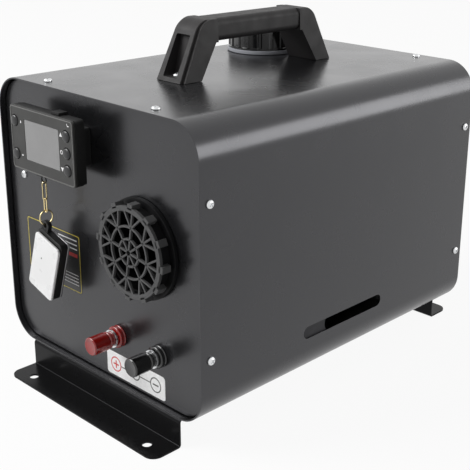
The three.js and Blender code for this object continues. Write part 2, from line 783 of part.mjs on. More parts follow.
// A spring clip from the bracket's plate forward over the controller's top (1) or bottom (-1) edge.
function cradleClip(x, sign, width, plateFront) {
  const thick = 2.2;
  const reach = plateFront + cradlePlate - bezelThickness - 1;
  const edge = controllerHeight / 2 + seatGap;
  const arm = new THREE.BoxGeometry(width, reach, thick);
  arm.translate(x, bezelThickness + 1 + reach / 2, sign * (edge + thick / 2));
  const stem = new THREE.BoxGeometry(width, cradlePlate, 8);
  stem.translate(x, plateFront + cradlePlate / 2, sign * (edge + thick - 4));
  return join(solidOf(arm), solidOf(stem));
}

const eyeletDrop = controllerHeight / 2 + eyeletRadius + 3;

// The eyelet that carries the chain, under the controller, with the short lug that holds it.
function chainEyelet(x, plateFront) {
  const y = controllerFace - hookFront;
  const eyelet = new THREE.TorusGeometry(eyeletRadius, wireRadius, 5, 12).rotateX(Math.PI / 2);
  const lugZ = eyeletRadius - eyeletDrop;
  const length = plateFront + cradlePlate - y;
  const lug = new THREE.BoxGeometry(3, length + 1, 2 * wireRadius);
  lug.translate(x, y + length / 2, lugZ);
  const rise = cradleHeight / 2 + lugZ - 1;
  const stem = new THREE.BoxGeometry(3, cradlePlate, -rise + 3);
  stem.translate(x, plateFront + cradlePlate / 2, lugZ - rise / 2 + 0.7);
  return join(solidOf(eyelet.translate(x, y, -eyeletDrop)), solidOf(lug), solidOf(stem));
}

// ---------------------------------------------------------------- binding posts
// The group's origin is on the panel's face, and -Y comes out of the panel.
function bindingPost(name, x, finish) {
  const group = new THREE.Group();
  group.position.set(x, panelFace - seatGap, floorZ + postZ);
  const washerBack = -postFlange - postKnobGap;
  const knobBack = washerBack - washerHeight - seatGap;
  const knobFront = knobBack - postKnobLength;
  const bore = knobFront + postKnobEnd;
  const studTip = bore + seatGap;
  const base = turnedY([
    [0, studTip], [studRadius, studTip], [studRadius, -postFlange],
    [postFlangeRadius - 1, -postFlange], [postFlangeRadius, -postFlange + 1], [postFlangeRadius, 0],
    [postBushRadius, 0], [postBushRadius, postBushLength], [0, postBushLength],
  ], postSides);
  group.add(piece(`${name}_post_base`, base, finish));

  const washer = tubeProfile(studRadius + seatGap, washerRadius, washerBack - washerHeight, washerBack);
  group.add(piece(`${name}_post_washer`, turnedY(washer, postSides), 'zinc'));

  const knob = turnedY([
    [0, knobFront], [postKnobRadius - 0.8, knobFront], [postKnobRadius, knobFront + 0.8],
    [postKnobRadius, knobBack - postWaistLength], [postWaistRadius, knobBack - postWaistLength + 1],
    [postWaistRadius, knobBack], [studRadius + seatGap, knobBack], [studRadius + seatGap, bore], [0, bore],
  ], postSides);
  group.add(piece(`${name}_post_knob`, knob, finish));
  return group;
}

// ---------------------------------------------------------------- hanging remote
// A long wire link in the X-Z plane, its top at z = 0.
function wireLink(length) {
  const r = linkWidth / 2 - wireRadius;
  const straight = length / 2 - linkWidth / 2;
  const points = [];
  for (const end of [1, -1]) {
    for (let i = 0; i <= 6; i++) {
      const a = (i / 6) * Math.PI;
      points.push(new THREE.Vector3(end * r * Math.cos(a), 0, end * (straight + r * Math.sin(a))));
    }
  }
  const curve = new THREE.CatmullRomCurve3(points, true, 'catmullrom', 0.1);
  return new THREE.TubeGeometry(curve, 20, wireRadius, 5, true).translate(0, 0, -length / 2);
}

// How far one loop's end lies inside the next: two wires, each with its own thickness, and a small gap.
const loopShare = 4 * wireRadius + seatGap;

function hangingRemote() {
  const group = new THREE.Group();
  const eyeletBottom = floorZ + controllerZ - eyeletDrop - eyeletRadius - wireRadius;
  group.position.set(hookX, front - hookFront, eyeletBottom + loopShare);

  const upper = solidOf(wireLink(upperLinkLength).rotateZ(Math.PI / 2));
  group.add(piece('upper_chain_link', upper, 'gold'));
  const lower = piece('lower_chain_link', solidOf(wireLink(lowerLinkLength)), 'gold');
  lower.position.z = -upperLinkLength + loopShare;
  group.add(lower);
  const ring = new THREE.TorusGeometry(keyRingRadius, wireRadius, 5, 18).rotateY(Math.PI / 2);
  const keyRing = piece('key_ring', solidOf(ring), 'gold');
  keyRing.position.z = lower.position.z - lowerLinkLength + loopShare - keyRingRadius - wireRadius;
  group.add(keyRing);
  const remote = remoteControl();
  remote.position.z = keyRing.position.z - keyRingRadius - remoteEyePlay;
  group.add(remote);
  return group;
}

// The remote's own frame has the middle of its ring eye as origin, and it hangs with its weight there.
function remoteControl() {
  const group = new THREE.Group();
  const cx = remoteWidth / 2 - remoteEyeFromSide;
  const top = -2 * remoteEyeRadius;
  const cz = top - remoteLength / 2;
  group.rotation.y = Math.atan2(cx, -cz);
  const core = remoteCore / 2;
  const slab = prismY(roundedRect(remoteWidth, remoteLength, remoteRadius, cx, cz), -core, core, 3);
  const earWidth = 2 * remoteEyeRadius + 6;
  const ear = prismY(roundedRect(earWidth, earWidth + 1, 4, 0, -1.5), -remoteEar / 2, remoteEar / 2, 4);
  const eye = turnedY(rodProfile(remoteEyeRadius, -core - 1, core + 1), 14);
  group.add(piece('remote_body', cut(join(slab, ear), eye), 'blackPlastic'));

  const cover = prismY(roundedRect(remoteWidth, remoteLength - remoteCoverDrop, remoteRadius, cx,
    cz - remoteCoverDrop / 2), -core - seatGap - remoteCover, -core - seatGap, 3);
  group.add(piece('remote_cover', cover, 'whitePlastic'));
  const backPlate = prismY(roundedRect(remoteWidth, remoteLength, remoteRadius, cx, cz),
    core + seatGap, core + seatGap + remoteBack, 3);
  group.add(piece('remote_back', backPlate, 'silver'));
  return group;
}

// ---------------------------------------------------------------- heater unit
const heaterZ = floorZ + outletZ;
const shellStart = front + shellFront;
const shellEnd = shellStart + shellLength;
const shellBottom = heaterZ - shellWidth / 2;
const finReach = shellWidth / 2 - shellWall - seatGap;

function squareTube(width, radius, y0, y1, segments) {
  return prismY(roundedRect(width, width, radius), y0, y1, segments);
}

function heaterShell() {
  const outer = squareTube(shellWidth, shellRadius, shellStart, shellEnd, 4);
  const inner = squareTube(shellWidth - 2 * shellWall, shellRadius - shellWall, shellStart + shellWall,
    shellEnd + 1, 4);
  const spigotOuter = outletBore - seatGap;
  const spigotFront = panelFace + collarTail - 12;
  const spigot = turnedY(rodProfile(spigotOuter, spigotFront, shellStart + 1), 20);
  const bore = turnedY(rodProfile(spigotOuter - outletTube, spigotFront - 1, shellStart + 2 * shellWall), 20);
  const ports = portPlaces.map(({ x, y }) => pipePort(x, y, 2 * shellWall));
  const mesh = piece('heater_shell', cut(join(outer, spigot), inner, bore, ...ports), 'blackPlastic');
  mesh.position.set(outletX, 0, heaterZ);
  return mesh;
}

const exchangerStart = shellStart + exchangerFromShell;
const exchangerEnd = exchangerStart + exchangerLength;
const portPlaces = [
  { name: 'exhaust_pipe', x: exhaustX, y: exchangerStart + exhaustFromExchanger, finish: 'steel' },
  { name: 'combustion_air_pipe', x: airPipeX, y: exchangerEnd - airFromExchanger, finish: 'rubber' },
];

// A pipe's clearance hole, up into the heater from under its shell.
function pipePort(x, y, reach) {
  const hole = turnedZ(rodProfile(pipeRadius + 2 * seatGap, -shellWidth / 2 - 1, reach - shellWidth / 2), 16);
  return hole.translate([x - outletX, y, 0]);
}

// A cast aluminium heat exchanger: a closed core with long radial fins, some of which reach the shell.
function heatExchanger() {
  const core = turnedY([[0, exchangerStart], [0.6 * exchangerCore, exchangerStart],
    [exchangerCore, exchangerStart + exchangerNose], [exchangerCore, exchangerEnd], [0, exchangerEnd]], 24);
  const fins = [];
  const pitch = (Math.PI * 2) / exchangerFins;
  for (let i = 0; i < exchangerFins; i++) {
    const reach = finReach - exchangerCore + 6;
    const fin = new THREE.BoxGeometry(reach, exchangerLength - exchangerNose, exchangerFin);
    fin.translate(finReach - reach / 2, exchangerStart + (exchangerLength + exchangerNose) / 2 - 1, 0);
    fins.push(solidOf(fin.rotateY(i * pitch)));
  }
  const ports = portPlaces.map(({ x, y }) => pipePort(x, y, shellWidth / 2 - exchangerCore + 14));
  const mesh = piece('heat_exchanger', cut(join(core, ...fins), ...ports), 'aluminium');
  mesh.position.set(outletX, 0, heaterZ);
  return mesh;
}

const motorStart = exchangerEnd + motorGap;
const motorEnd = motorStart + motorLength;

function fanMotor() {
  const can = turnedY(rodProfile(motorRadius, motorStart, motorEnd), 18);
  const arms = [0, 1, 2, 3].map((i) => {
    const arm = new THREE.BoxGeometry(finReach - 4, motorArmLength, motorArmWidth);
    arm.translate((finReach + 4) / 2, (motorStart + motorEnd) / 2, 0);
    return solidOf(arm.rotateY((i * Math.PI) / 2));
  });
  const bore = turnedY(rodProfile(fanShaftRadius + seatGap, motorEnd - shaftReach, motorEnd + 1), 10);
  const mesh = piece('fan_motor', cut(join(can, ...arms), bore), 'steel');
  mesh.position.set(outletX, 0, heaterZ);
  return mesh;
}

// Hub, shaft and pitched blades in one moulding.
function fanRotor() {
  const hubStart = motorEnd + fanGap;
  const hubEnd = hubStart + fanHubLength;
  const shaft = turnedY(rodProfile(fanShaftRadius, motorEnd - shaftReach + seatGap, hubStart + 1), 10);
  const hub = turnedY([[0, hubStart], [fanHubRadius, hubStart], [fanHubRadius, hubEnd - fanHubEdge],
    [fanHubRadius - fanHubEdge, hubEnd], [0, hubEnd]], 16);
  const blades = [];
  const span = fanRadius - fanHubRadius + 3;
  for (let i = 0; i < fanBlades; i++) {
    const blade = new THREE.BoxGeometry(span, fanBladeThickness, fanBladeChord);
    blade.rotateX(degrees(fanBladePitch)).translate(fanRadius - span / 2, hubStart + fanHubLength / 2, 0);
    blades.push(solidOf(blade.rotateY((i / fanBlades) * Math.PI * 2)));
  }
  const envelope = turnedY(rodProfile(fanRadius, hubStart + 1, hubEnd - 1), 24);
  const swept = join(blades[0], ...blades.slice(1)).intersect(envelope);
  const mesh = piece('fan_rotor', join(hub, shaft, swept), 'blackPlastic');
  mesh.position.set(outletX, 0, heaterZ);
  return mesh;
}

// A folded stand under the shell: two uprights on a floor plate.
function heaterBracket() {
  const sheet = footSheet;
  const reach = shellWidth / 2 - shellRadius - 1;
  const [y0, y1] = [shellStart + bracketFromShell, portPlaces[0].y - pipeRadius - bracketToPipe];
  const top = shellBottom - seatGap;
  const floor = new THREE.BoxGeometry(2 * reach, y1 - y0, sheet);
  const parts = [solidOf(floor.translate(0, (y0 + y1) / 2, insideFloor + sheet / 2))];
  for (const sign of [-1, 1]) {
    const tall = top - insideFloor;
    const upright = roundedRect(y1 - y0, tall, 5, (y0 + y1) / 2, insideFloor + tall / 2);
    const x = sign * (reach - sheet / 2);
    parts.push(prismX(upright, x - sheet / 2, x + sheet / 2, 4));
  }
  const mesh = piece('heater_bracket', join(parts[0], ...parts.slice(1)), 'blackSheet');
  mesh.position.set(outletX, 0, 0);
  return mesh;
}

// A pipe from its port in the shell, down, round a quarter bend and out through the back panel.
function heaterPipe({ name, x, y, finish }) {
  const low = floorZ + pipeHeight;
  const rod = (radius, spare) => {
    const down = turnedZ(rodProfile(radius, low + pipeBend, heaterZ - exchangerCore - 2 + spare), pipeSides);
    const along = turnedY(rodProfile(radius, y + pipeBend, rearFace + pipeStub + spare), pipeSides);
    const whole = new THREE.TorusGeometry(pipeBend, radius, pipeSides, 24).rotateY(Math.PI / 2);
    const quarter = new THREE.BoxGeometry(4 * pipeRadius, 4 * pipeBend, 4 * pipeBend);
    quarter.translate(0, -2 * pipeBend, -2 * pipeBend);
    const bend = solidOf(whole).intersect(solidOf(quarter));
    return join(down.translate([x, y, 0]), bend.translate([x, y + pipeBend, low + pipeBend]),
      along.translate([x, 0, low]));
  };
  return piece(name, cut(rod(pipeRadius, 0), rod(pipeRadius - pipeWall, 1)), finish);
}

function controlUnit() {
  const [width, length, height] = controlUnitSize;
  const base = heaterZ + shellWidth / 2 + seatGap;
  const outline = roundedRect(width, length, 4, outletX, shellStart + controlUnitFromShell);
  const box = prismZ(outline, base, base + height, 3);
  return piece('control_unit', box, 'greyPlastic');
}

// A metering pump: a barrel with a hose tail at each end, on a rubber-mounted foot.
function fuelPump() {
  const z = insideFloor + pumpLift;
  const start = pumpRear - pumpLength;
  const barrel = turnedY([[0, start], [fuelBossRadius, start], [fuelBossRadius, start + pumpTail],
    [pumpRadius, start + pumpTail], [pumpRadius, pumpRear - pumpTail], [fuelBossRadius, pumpRear - pumpTail],
    [fuelBossRadius, pumpRear], [0, pumpRear]], 14).translate([pumpX, 0, z]);
  const padHeight = pumpLift - pumpRadius / 2;
  const pad = new THREE.BoxGeometry(1.7 * pumpRadius, 0.4 * pumpLength, padHeight);
  pad.translate(pumpX, (start + pumpRear) / 2, insideFloor + padHeight / 2);
  return piece('fuel_pump', join(barrel, solidOf(pad)), 'steel');
}

// The hose from the pump, across the case and up to the shell's fuel inlet.
function fuelLine() {
  const z = insideFloor + pumpLift;
  const start = pumpRear - pumpLength - seatGap;
  const endX = outletX - shellWidth / 5;
  const endY = shellStart + 2.5 * fuelLineRadius;
  const route = new THREE.CatmullRomCurve3([
    new THREE.Vector3(pumpX, start, z),
    new THREE.Vector3(pumpX, start - 3, z),
    new THREE.Vector3(pumpX + 8, start - 10, z),
    new THREE.Vector3(pumpX + 30, start - 12, z + 2),
    new THREE.Vector3(endX - 40, start - 10, z + 14),
    new THREE.Vector3(endX - 6, endY - 14, z + 32),
    new THREE.Vector3(endX, endY - 1, shellBottom - 18),
    new THREE.Vector3(endX, endY, shellBottom - 6),
    new THREE.Vector3(endX, endY, shellBottom - seatGap),
  ]);
  const section = new THREE.Shape();
  section.absarc(0, 0, fuelLineRadius, 0, Math.PI * 2);
  const tube = new THREE.ExtrudeGeometry(section, { steps: 20, curveSegments: 3, extrudePath: route });
  return piece('fuel_line', solidOf(tube), 'tube');
}

// ---------------------------------------------------------------- assembly
heater.add(caseWrap(), frontPanel(), rearPanel(), rearGrille(), caseScrews());
heater.add(footBracket('front_foot', false), footBracket('rear_foot', true));
heater.add(handleLeg('handle_front_leg', -1), handleLeg('handle_rear_leg', 1), handleGrip(), handleScrews());
heater.add(fuelTank(), fillerRing(), capSeal(), fuelCap());
heater.add(outletCollar(), outletGrille(), controller());
heater.add(bindingPost('red', redPostX, 'redPlastic'), bindingPost('black', blackPostX, 'gloss'));
heater.add(hangingRemote());
heater.add(heaterShell(), heatExchanger(), fanMotor(), fanRotor(), heaterBracket(), controlUnit());
heater.add(...portPlaces.map(heaterPipe), fuelPump(), fuelLine());

export default heater;
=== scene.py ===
import json
from math import cos, pi, radians, sin

import bmesh
import bpy
from mathutils import Matrix, Vector


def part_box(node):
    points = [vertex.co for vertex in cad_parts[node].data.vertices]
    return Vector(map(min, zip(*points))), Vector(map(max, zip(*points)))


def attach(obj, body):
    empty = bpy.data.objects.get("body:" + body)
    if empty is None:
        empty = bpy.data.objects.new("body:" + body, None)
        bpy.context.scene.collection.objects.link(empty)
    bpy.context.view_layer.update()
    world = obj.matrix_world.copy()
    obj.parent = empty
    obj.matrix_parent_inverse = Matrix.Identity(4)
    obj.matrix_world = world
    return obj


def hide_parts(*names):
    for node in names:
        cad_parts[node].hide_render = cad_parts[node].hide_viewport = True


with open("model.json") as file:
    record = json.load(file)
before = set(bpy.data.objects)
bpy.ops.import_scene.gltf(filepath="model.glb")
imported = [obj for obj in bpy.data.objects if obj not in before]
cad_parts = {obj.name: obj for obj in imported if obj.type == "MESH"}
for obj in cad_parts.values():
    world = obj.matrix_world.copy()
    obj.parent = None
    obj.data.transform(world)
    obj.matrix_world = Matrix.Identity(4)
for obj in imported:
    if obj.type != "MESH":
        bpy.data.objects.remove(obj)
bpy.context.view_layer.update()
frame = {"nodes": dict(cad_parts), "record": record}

bl_info = {
    "name": "Diesel Air Heater",
    "version": (1, 0, 0),
    "blender": (4, 5, 0),
    "location": "View3D > Sidebar > Heater",
    "description": "Dresses a portable diesel air heater with smooth pieces and finishes",
    "category": "Object",
}

# Lengths are in metres, and bare angles in degrees.
MM = 0.001
RECORD = frame["record"]
SLOT_OF = {part["node"]: part["material_slot"] for part in RECORD["subparts"]}
COLOUR_OF = {slot["slot"]: slot["base_color"] for slot in RECORD["materials"]}
OUT_OF_PANEL = Vector((0, -1, 0))
TOWARDS_BACK = Vector((0, 1, 0))
RIGHT = Vector((1, 0, 0))
UP = Vector((0, 0, 1))
ORIGIN = (0, 0, 0)
EVEN = (1, 1, 1)


# ---------------------------------------------------------------- sizes and colours
def length(name, description, default):
    return bpy.props.FloatProperty(
        name=name, description=description, default=default, min=0.0, unit="LENGTH", precision=5
    )


def colour(name, description, default):
    return bpy.props.FloatVectorProperty(
        name=name, description=description, default=default, size=3, min=0.0, max=1.0,
        subtype="COLOR",
    )


class HeaterSizes(bpy.types.PropertyGroup):
    case_corner: length("Case corner", "Radius of the case's four long corners", 0.032)
    sheet: length("Sheet", "Thickness of the case's sheet metal", 0.0015)
    panel_fold: length("Panel fold", "Radius of the fold round the front and back panels", 0.0016)
    slot_long: length("Slot length", "Length of the slot in each side", 0.118)
    slot_high: length("Slot height", "Height of the slot in each side", 0.0125)
    foot_sheet: length("Foot sheet", "Thickness of the feet", 0.002)
    foot_fold: length("Foot fold", "Radius of the folds in the feet", 0.003)
    foot_corner: length("Foot corner", "Radius of the corners of the feet's flanges", 0.011)
    handle_lean: length("Handle lean", "How far each end of the handle leans in", 0.027)
    handle_corner: length("Handle corner", "Radius at the top of the handle's ends", 0.014)
    handle_thickness: length("Handle thickness", "Thickness of a leg at its base", 0.025)
    handle_step: length("Handle step", "Rebate down each outer corner of a leg", 0.0035)
    cap_ribs: bpy.props.IntProperty(
        name="Cap ribs", description="Ribs round the fuel cap", default=18, min=6, max=48
    )
    cap_rib_height: length("Cap rib height", "How far the ribs stand out of the cap", 0.0016)
    grille_bar: length("Grille bar", "Width of the bars of the warm-air grille", 0.0019)
    key_radius: length("Key radius", "Radius of the controller's round keys", 0.0052)


class HeaterColours(bpy.types.PropertyGroup):
    powder_coat: colour("Powder coat", "Case, panels and feet", (0.0075, 0.0075, 0.0082))
    handle: colour("Handle", "Moulded carrying handle", (0.015, 0.0135, 0.014))
    black_moulding: colour("Black moulding", "Housing and other black plastic", (0.007,) * 3)
    grey_moulding: colour("Grey moulding", "Controller face", (0.023, 0.023, 0.0215))
    grille: colour("Grille", "Warm-air grille", (0.075, 0.075, 0.076))
    ring: colour("Filler ring", "Pale ring under the fuel cap", COLOUR_OF["ring_plastic"])
    screen: colour("Display", "Display window with the display off", COLOUR_OF["display"])
    red_post: colour("Red post", "Positive binding post", COLOUR_OF["red_plastic"])
    black_post: colour("Black post", "Negative binding post", COLOUR_OF["gloss_black"])
    gold: colour("Chain", "Chain and key ring", COLOUR_OF["gold"])
    remote_cover: colour("Remote cover", "Sliding cover of the remote", COLOUR_OF["white_plastic"])


# ---------------------------------------------------------------- finishes
NOISE_LOW, NOISE_HIGH = 0.3, 0.7  # nearly all values of a noise lie between these
COAT_ROUGHNESS = 0.08
SCREEN_OFF = 0.84  # how much of its colour the display keeps behind its glass

# Coated sheet: share of the powder coat's colour, and the coat's index of refraction. The feet
# keep only 0.3 of the colour, as painted shade under the case.
COATED = {"black_sheet": (1.0, 1.62), "foot_sheet": (0.3, 1.22)}

# Mouldings: roughness, the grain's size and depth in mm, and what isn't as usual.
MOULDED = {
    "handle_plastic": (0.6, 0.5, 0.02, {"ior": 1.4}),
    "black_plastic": (0.45, 0.6, 0.01, {"ior": 1.38}),
    "collar_plastic_painted_shade": (0.5, 0.6, 0.01, {"ior": 1.28}),
    "grille_plastic": (0.6, 0.5, 0.01, {"ior": 1.35}),
    "shield_sheet": (0.5, 1.2, 0.006, {"ior": 1.3}),
    "grey_plastic": (0.42, 0.5, 0.01, {}),
    "rim_plastic_painted_highlight": (0.4, 0.5, 0.01, {}),
    "key_plastic": (0.33, 0.8, 0.008, {}),
    "ring_plastic": (0.4, 0.6, 0.008, {}),
    "cap_plastic": (0.2, 1.0, 0.006, {"coat": 0.5}),
    "gloss_black": (0.18, 1.0, 0.006, {"coat": 0.4}),
    "red_plastic": (0.2, 1.0, 0.006, {"coat": 0.4, "tone": 0.12}),
    "display": (0.16, 4.0, 0.003, {"coat": 0.3, "tone": 0.04}),
    "white_plastic": (0.3, 0.9, 0.004, {"tone": 0.015}),
    "tank_plastic": (0.45, 2.0, 0.03, {"tone": 0.05}),
    "rubber": (0.75, 0.7, 0.03, {"tone": 0.2}),
}

# Metals: roughness, stretch of the surface's lines, the grain's size and depth in mm.
METAL = {
    "zinc": (0.24, EVEN, 0.8, 0.01),
    "gold": (0.22, EVEN, 0.8, 0.01),
    "silver_plastic": (0.42, EVEN, 0.4, 0.006),
    "cast_aluminium": (0.5, EVEN, 1.2, 0.06),
    "steel": (0.34, (1, 0.06, 1), 0.6, 0.012),
}

# Inks and films: roughness.
PRINTED = {
    "label_black": 0.3, "label_white": 0.35, "label_yellow": 0.35, "label_red": 0.35,
    "label_grey": 0.35,
}

# Colours that neither the sidebar nor the record gives.
OWN_COLOUR = {
    # A black darker than the other mouldings: painted shade round the warm-air outlet.
    "collar_plastic_painted_shade": (0.004, 0.004, 0.0045),
    "cap_plastic": (0.006, 0.006, 0.0065),
    "shield_sheet": (0.03, 0.03, 0.034),
    # Pale grey of the face's rim: a painted highlight along the controller's face.
    "rim_plastic_painted_highlight": (0.15, 0.15, 0.145),
    "key_plastic": (0.012, 0.012, 0.013),
    "label_black": (0.012, 0.012, 0.013),
    "label_white": (0.86, 0.86, 0.86),
    "label_yellow": (0.62, 0.5, 0.06),
    "label_red": (0.6, 0.04, 0.04),
    "label_grey": (0.06, 0.06, 0.06),
}


def add_node(tree, kind, inputs=None, **settings):
    made = tree.nodes.new(kind)
    for name, value in settings.items():
        setattr(made, name, value)
    for name, value in (inputs or {}).items():
        made.inputs[name].default_value = value
    return made


def link(tree, *pairs):
    """Links each output to the input that it is paired with."""
    for start, end in pairs:
        tree.links.new(start, end)


def start_finish(name, base, roughness, metallic=0.0, coat=0.0, ior=1.5):
    """A material with its shader's plain values set, ready for surface detail."""
    finish = bpy.data.materials.new(name)
    finish.use_nodes = True
    finish.diffuse_color = (*base, 1)
    shader = finish.node_tree.nodes["Principled BSDF"]
    for socket, value in (
        ("Base Color", (*base, 1)), ("Roughness", roughness), ("Metallic", metallic),
        ("IOR", ior), ("Coat Weight", coat), ("Coat Roughness", COAT_ROUGHNESS),
    ):
        shader.inputs[socket].default_value = value
    return finish, shader


def surface_noise(tree, size, stretch=EVEN, detail=3.0):
    """Noise in the piece's own space, with features of this size in metres."""
    place = add_node(tree, "ShaderNodeTexCoord")
    turn = add_node(tree, "ShaderNodeMapping", {"Scale": stretch})
    noise = add_node(tree, "ShaderNodeTexNoise", {"Scale": 1 / size, "Detail": detail})
    link(tree, (place.outputs["Object"], turn.inputs["Vector"]),
         (turn.outputs["Vector"], noise.inputs["Vector"]))
    return noise.outputs["Fac"]


def vary_colour(tree, shader, base, size, tone, stretch=EVEN):
    ramp = add_node(tree, "ShaderNodeValToRGB")
    ends = ramp.color_ramp.elements
    for element, position, share in (
        (ends[0], NOISE_LOW, 1 - tone), (ends[1], NOISE_HIGH, 1 + tone),
    ):
        element.position = position
        element.color = (*(min(1, c * share) for c in base), 1)
    link(tree, (surface_noise(tree, size, stretch), ramp.inputs["Fac"]),
         (ramp.outputs["Color"], shader.inputs["Base Color"]))


def vary_roughness(tree, shader, size, low, high, stretch=EVEN):
    reach = add_node(
        tree, "ShaderNodeMapRange",
        {"From Min": NOISE_LOW, "From Max": NOISE_HIGH, "To Min": low, "To Max": high},
    )
    link(tree, (surface_noise(tree, size, stretch), reach.inputs["Value"]),
         (reach.outputs["Result"], shader.inputs["Roughness"]))


def add_bumps(tree, shader, bumps):
    """Even bumps laid one over the other, each (size, depth, stretch)."""
    below = None
    for size, depth, stretch in bumps:
        bump = add_node(tree, "ShaderNodeBump", {"Strength": 1.0, "Distance": depth})
        height = surface_noise(tree, size, stretch, detail=0.0)
        link(tree, (height, bump.inputs["Height"]))
        if below:
            link(tree, (below, bump.inputs["Normal"]))
        below = bump.outputs["Normal"]
    link(tree, (below, shader.inputs["Normal"]))


def moulded(name, base, roughness, grain, depth, tone=0.1, coat=0.0, ior=1.5):
    """Moulded plastic: a fine spark-eroded grain over faint sink marks."""
    finish, shader = start_finish(name, base, roughness, coat=coat, ior=ior)
    tree = finish.node_tree
    sink_marks = (0.025, 0.00006, EVEN)
    vary_colour(tree, shader, base, size=0.03, tone=tone)
    vary_roughness(tree, shader, size=0.012, low=roughness - 0.05, high=roughness + 0.06)
    add_bumps(tree, shader, [sink_marks, (grain, depth, EVEN)])
    return finish


def powder_coat(name, base, ior):
    """Satin powder coat on sheet metal, with a fine orange peel."""
    finish, shader = start_finish(name, base, roughness=0.27, ior=ior)
    tree = finish.node_tree
    orange_peel = (0.0018, 0.0000012, EVEN)
    vary_colour(tree, shader, base, size=0.004, tone=0.12)
    vary_roughness(tree, shader, size=0.05, low=0.24, high=0.29)
    add_bumps(tree, shader, [orange_peel])
    shader.inputs["Specular Tint"].default_value = (0.95, 0.95, 1, 1)
    return finish


def bare_metal(name, base, roughness, stretch, grain, depth):
    """Plated, cast or drawn metal; stretch gives the direction of its lines."""
    finish, shader = start_finish(name, base, roughness, metallic=1.0)
    tree = finish.node_tree
    low, high = roughness - 0.07, roughness + 0.1
    vary_colour(tree, shader, base, size=0.006, tone=0.1, stretch=stretch)
    vary_roughness(tree, shader, size=0.004, low=low, high=high, stretch=stretch)
    add_bumps(tree, shader, [(grain, depth, stretch)])
    return finish


def printed(name, base, roughness):
    """Ink or film on a label: nearly flat, with a little tooth."""
    finish, shader = start_finish(name, base, roughness)
    tree = finish.node_tree
    tooth = (0.0006, 0.000004, EVEN)
    vary_colour(tree, shader, base, size=0.0025, tone=0.06)
    vary_roughness(tree, shader, size=0.01, low=roughness - 0.04, high=roughness + 0.05)
    add_bumps(tree, shader, [tooth])
    return finish


def colour_for(name):
    """A finish's colour: the sidebar's, or else its own or the record's."""
    chosen = bpy.context.scene.heater_colours
    if name in COATED:
        share, _ = COATED[name]
        return tuple(share * c for c in chosen.powder_coat)
    sidebar = {
        "handle_plastic": chosen.handle, "black_plastic": chosen.black_moulding,
        "grey_plastic": chosen.grey_moulding, "grille_plastic": chosen.grille,
        "ring_plastic": chosen.ring, "display": [SCREEN_OFF * c for c in chosen.screen],
        "red_plastic": chosen.red_post, "gloss_black": chosen.black_post,
        "gold": chosen.gold, "white_plastic": chosen.remote_cover,
    }
    return tuple({**COLOUR_OF, **OWN_COLOUR, **sidebar}[name])


def finish_named(name):
    """The finish of this name, made the first time that it is asked for."""
    full_name = name + "_finish"
    found = bpy.data.materials.get(full_name)
    if found:
        return found
    base = colour_for(name)
    if name in COATED:
        return powder_coat(full_name, base, COATED[name][1])
    if name in METAL:
        roughness, stretch, grain, depth = METAL[name]
        return bare_metal(full_name, base, roughness, stretch, grain * MM, depth * MM)
    if name in PRINTED:
        return printed(full_name, base, PRINTED[name])
    roughness, grain, depth, unusual = MOULDED[name]
    return moulded(full_name, base, roughness, grain * MM, depth * MM, **unusual)


# ---------------------------------------------------------------- mesh helpers
AXIS_MATCH = 0.99  # a direction within 8 degrees of an axis counts as along it
FLAT_MATCH = 0.9  # a face whose normal is this far along an axis faces that way
MERGE = 1e-6
MANY_STEPS = 96  # round a large circle
THROUGH = 0.01  # how far a hole's cutter reaches to each side of a sheet


def box_of(node):
    """Middle and size of a CAD node."""
    low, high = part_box(node)
    return (low + high) / 2, high - low


def front_of(node):
    """Middle of a CAD node's front face, and the node's depth from front to back."""
    middle, size = box_of(node)
    return Vector((middle.x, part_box(node)[0].y, middle.z)), size.y


def block(size, middle=ORIGIN):
    bm = bmesh.new()
    place = Matrix.Translation(middle) @ Matrix.Diagonal((*size, 1))
    bmesh.ops.create_cube(bm, size=1, matrix=place)
    return bm


def bevel(bm, geom, radius, segments, affect="EDGES"):
    bmesh.ops.bevel(
        bm, geom=geom, offset=radius, offset_type="OFFSET", affect=affect, segments=segments,
        profile=0.5, material=-1, clamp_overlap=True,
    )


def edges_along(bm, axis):
    """The edges along the x, y or z axis: 0, 1 or 2."""
    found = []
    for edge in bm.edges:
        start, end = edge.verts
        if abs((end.co - start.co).normalized()[axis]) > AXIS_MATCH:
            found.append(edge)
    return found


def rounded_block(size, middle, radius, axis=1, segments=6):
    """A block with its four edges along one axis rounded."""
    bm = block(size, middle)
    bevel(bm, edges_along(bm, axis), radius, segments)
    return bm


def move(bm, matrix):
    bmesh.ops.transform(bm, matrix=matrix, verts=bm.verts)


def turn_between(old, new):
    return old.rotation_difference(new).to_matrix().to_4x4()


def point(bm, direction, middle):
    """Turns a shape made along +Z to this direction, and moves its origin to the middle."""
    move(bm, Matrix.Translation(middle) @ turn_between(UP, direction))


def turned(profile, direction, middle, steps=64, closed=False):
    """A shape spun from (radius, height) points; a closed profile makes a ring."""
    bm = bmesh.new()
    verts = [bm.verts.new((radius, 0, height)) for radius, height in profile]
    ends = verts[1:] + verts[:1] if closed else verts[1:]
    edges = [bm.edges.new(pair) for pair in zip(verts, ends)]
    bmesh.ops.spin(
        bm, geom=verts + edges, cent=ORIGIN, axis=UP, angle=2 * pi, steps=steps, use_merge=True
    )
    bmesh.ops.remove_doubles(bm, verts=bm.verts, dist=MERGE)
    bmesh.ops.recalc_face_normals(bm, faces=bm.faces)
    point(bm, direction, middle)
    return bm


def in_metres(profile):
    """A profile given in millimetres."""
    return [(radius * MM, height * MM) for radius, height in profile]


def ring(inner, outer, bottom, top, direction, middle, steps=64):
    profile = [(inner, bottom), (outer, bottom), (outer, top), (inner, top)]
    return turned(profile, direction, middle, steps, closed=True)


def rod(radius, bottom, top, direction, middle, steps=48):
    profile = [(0, bottom), (radius, bottom), (radius, top), (0, top)]
    return turned(profile, direction, middle, steps)


def drill(radius, direction, middle, steps=48):
    """A cutter for a round hole through a sheet."""
    return rod(radius, -THROUGH, THROUGH, direction, middle, steps)


def verts_of(geom):
    return [v for v in geom if isinstance(v, bmesh.types.BMVert)]


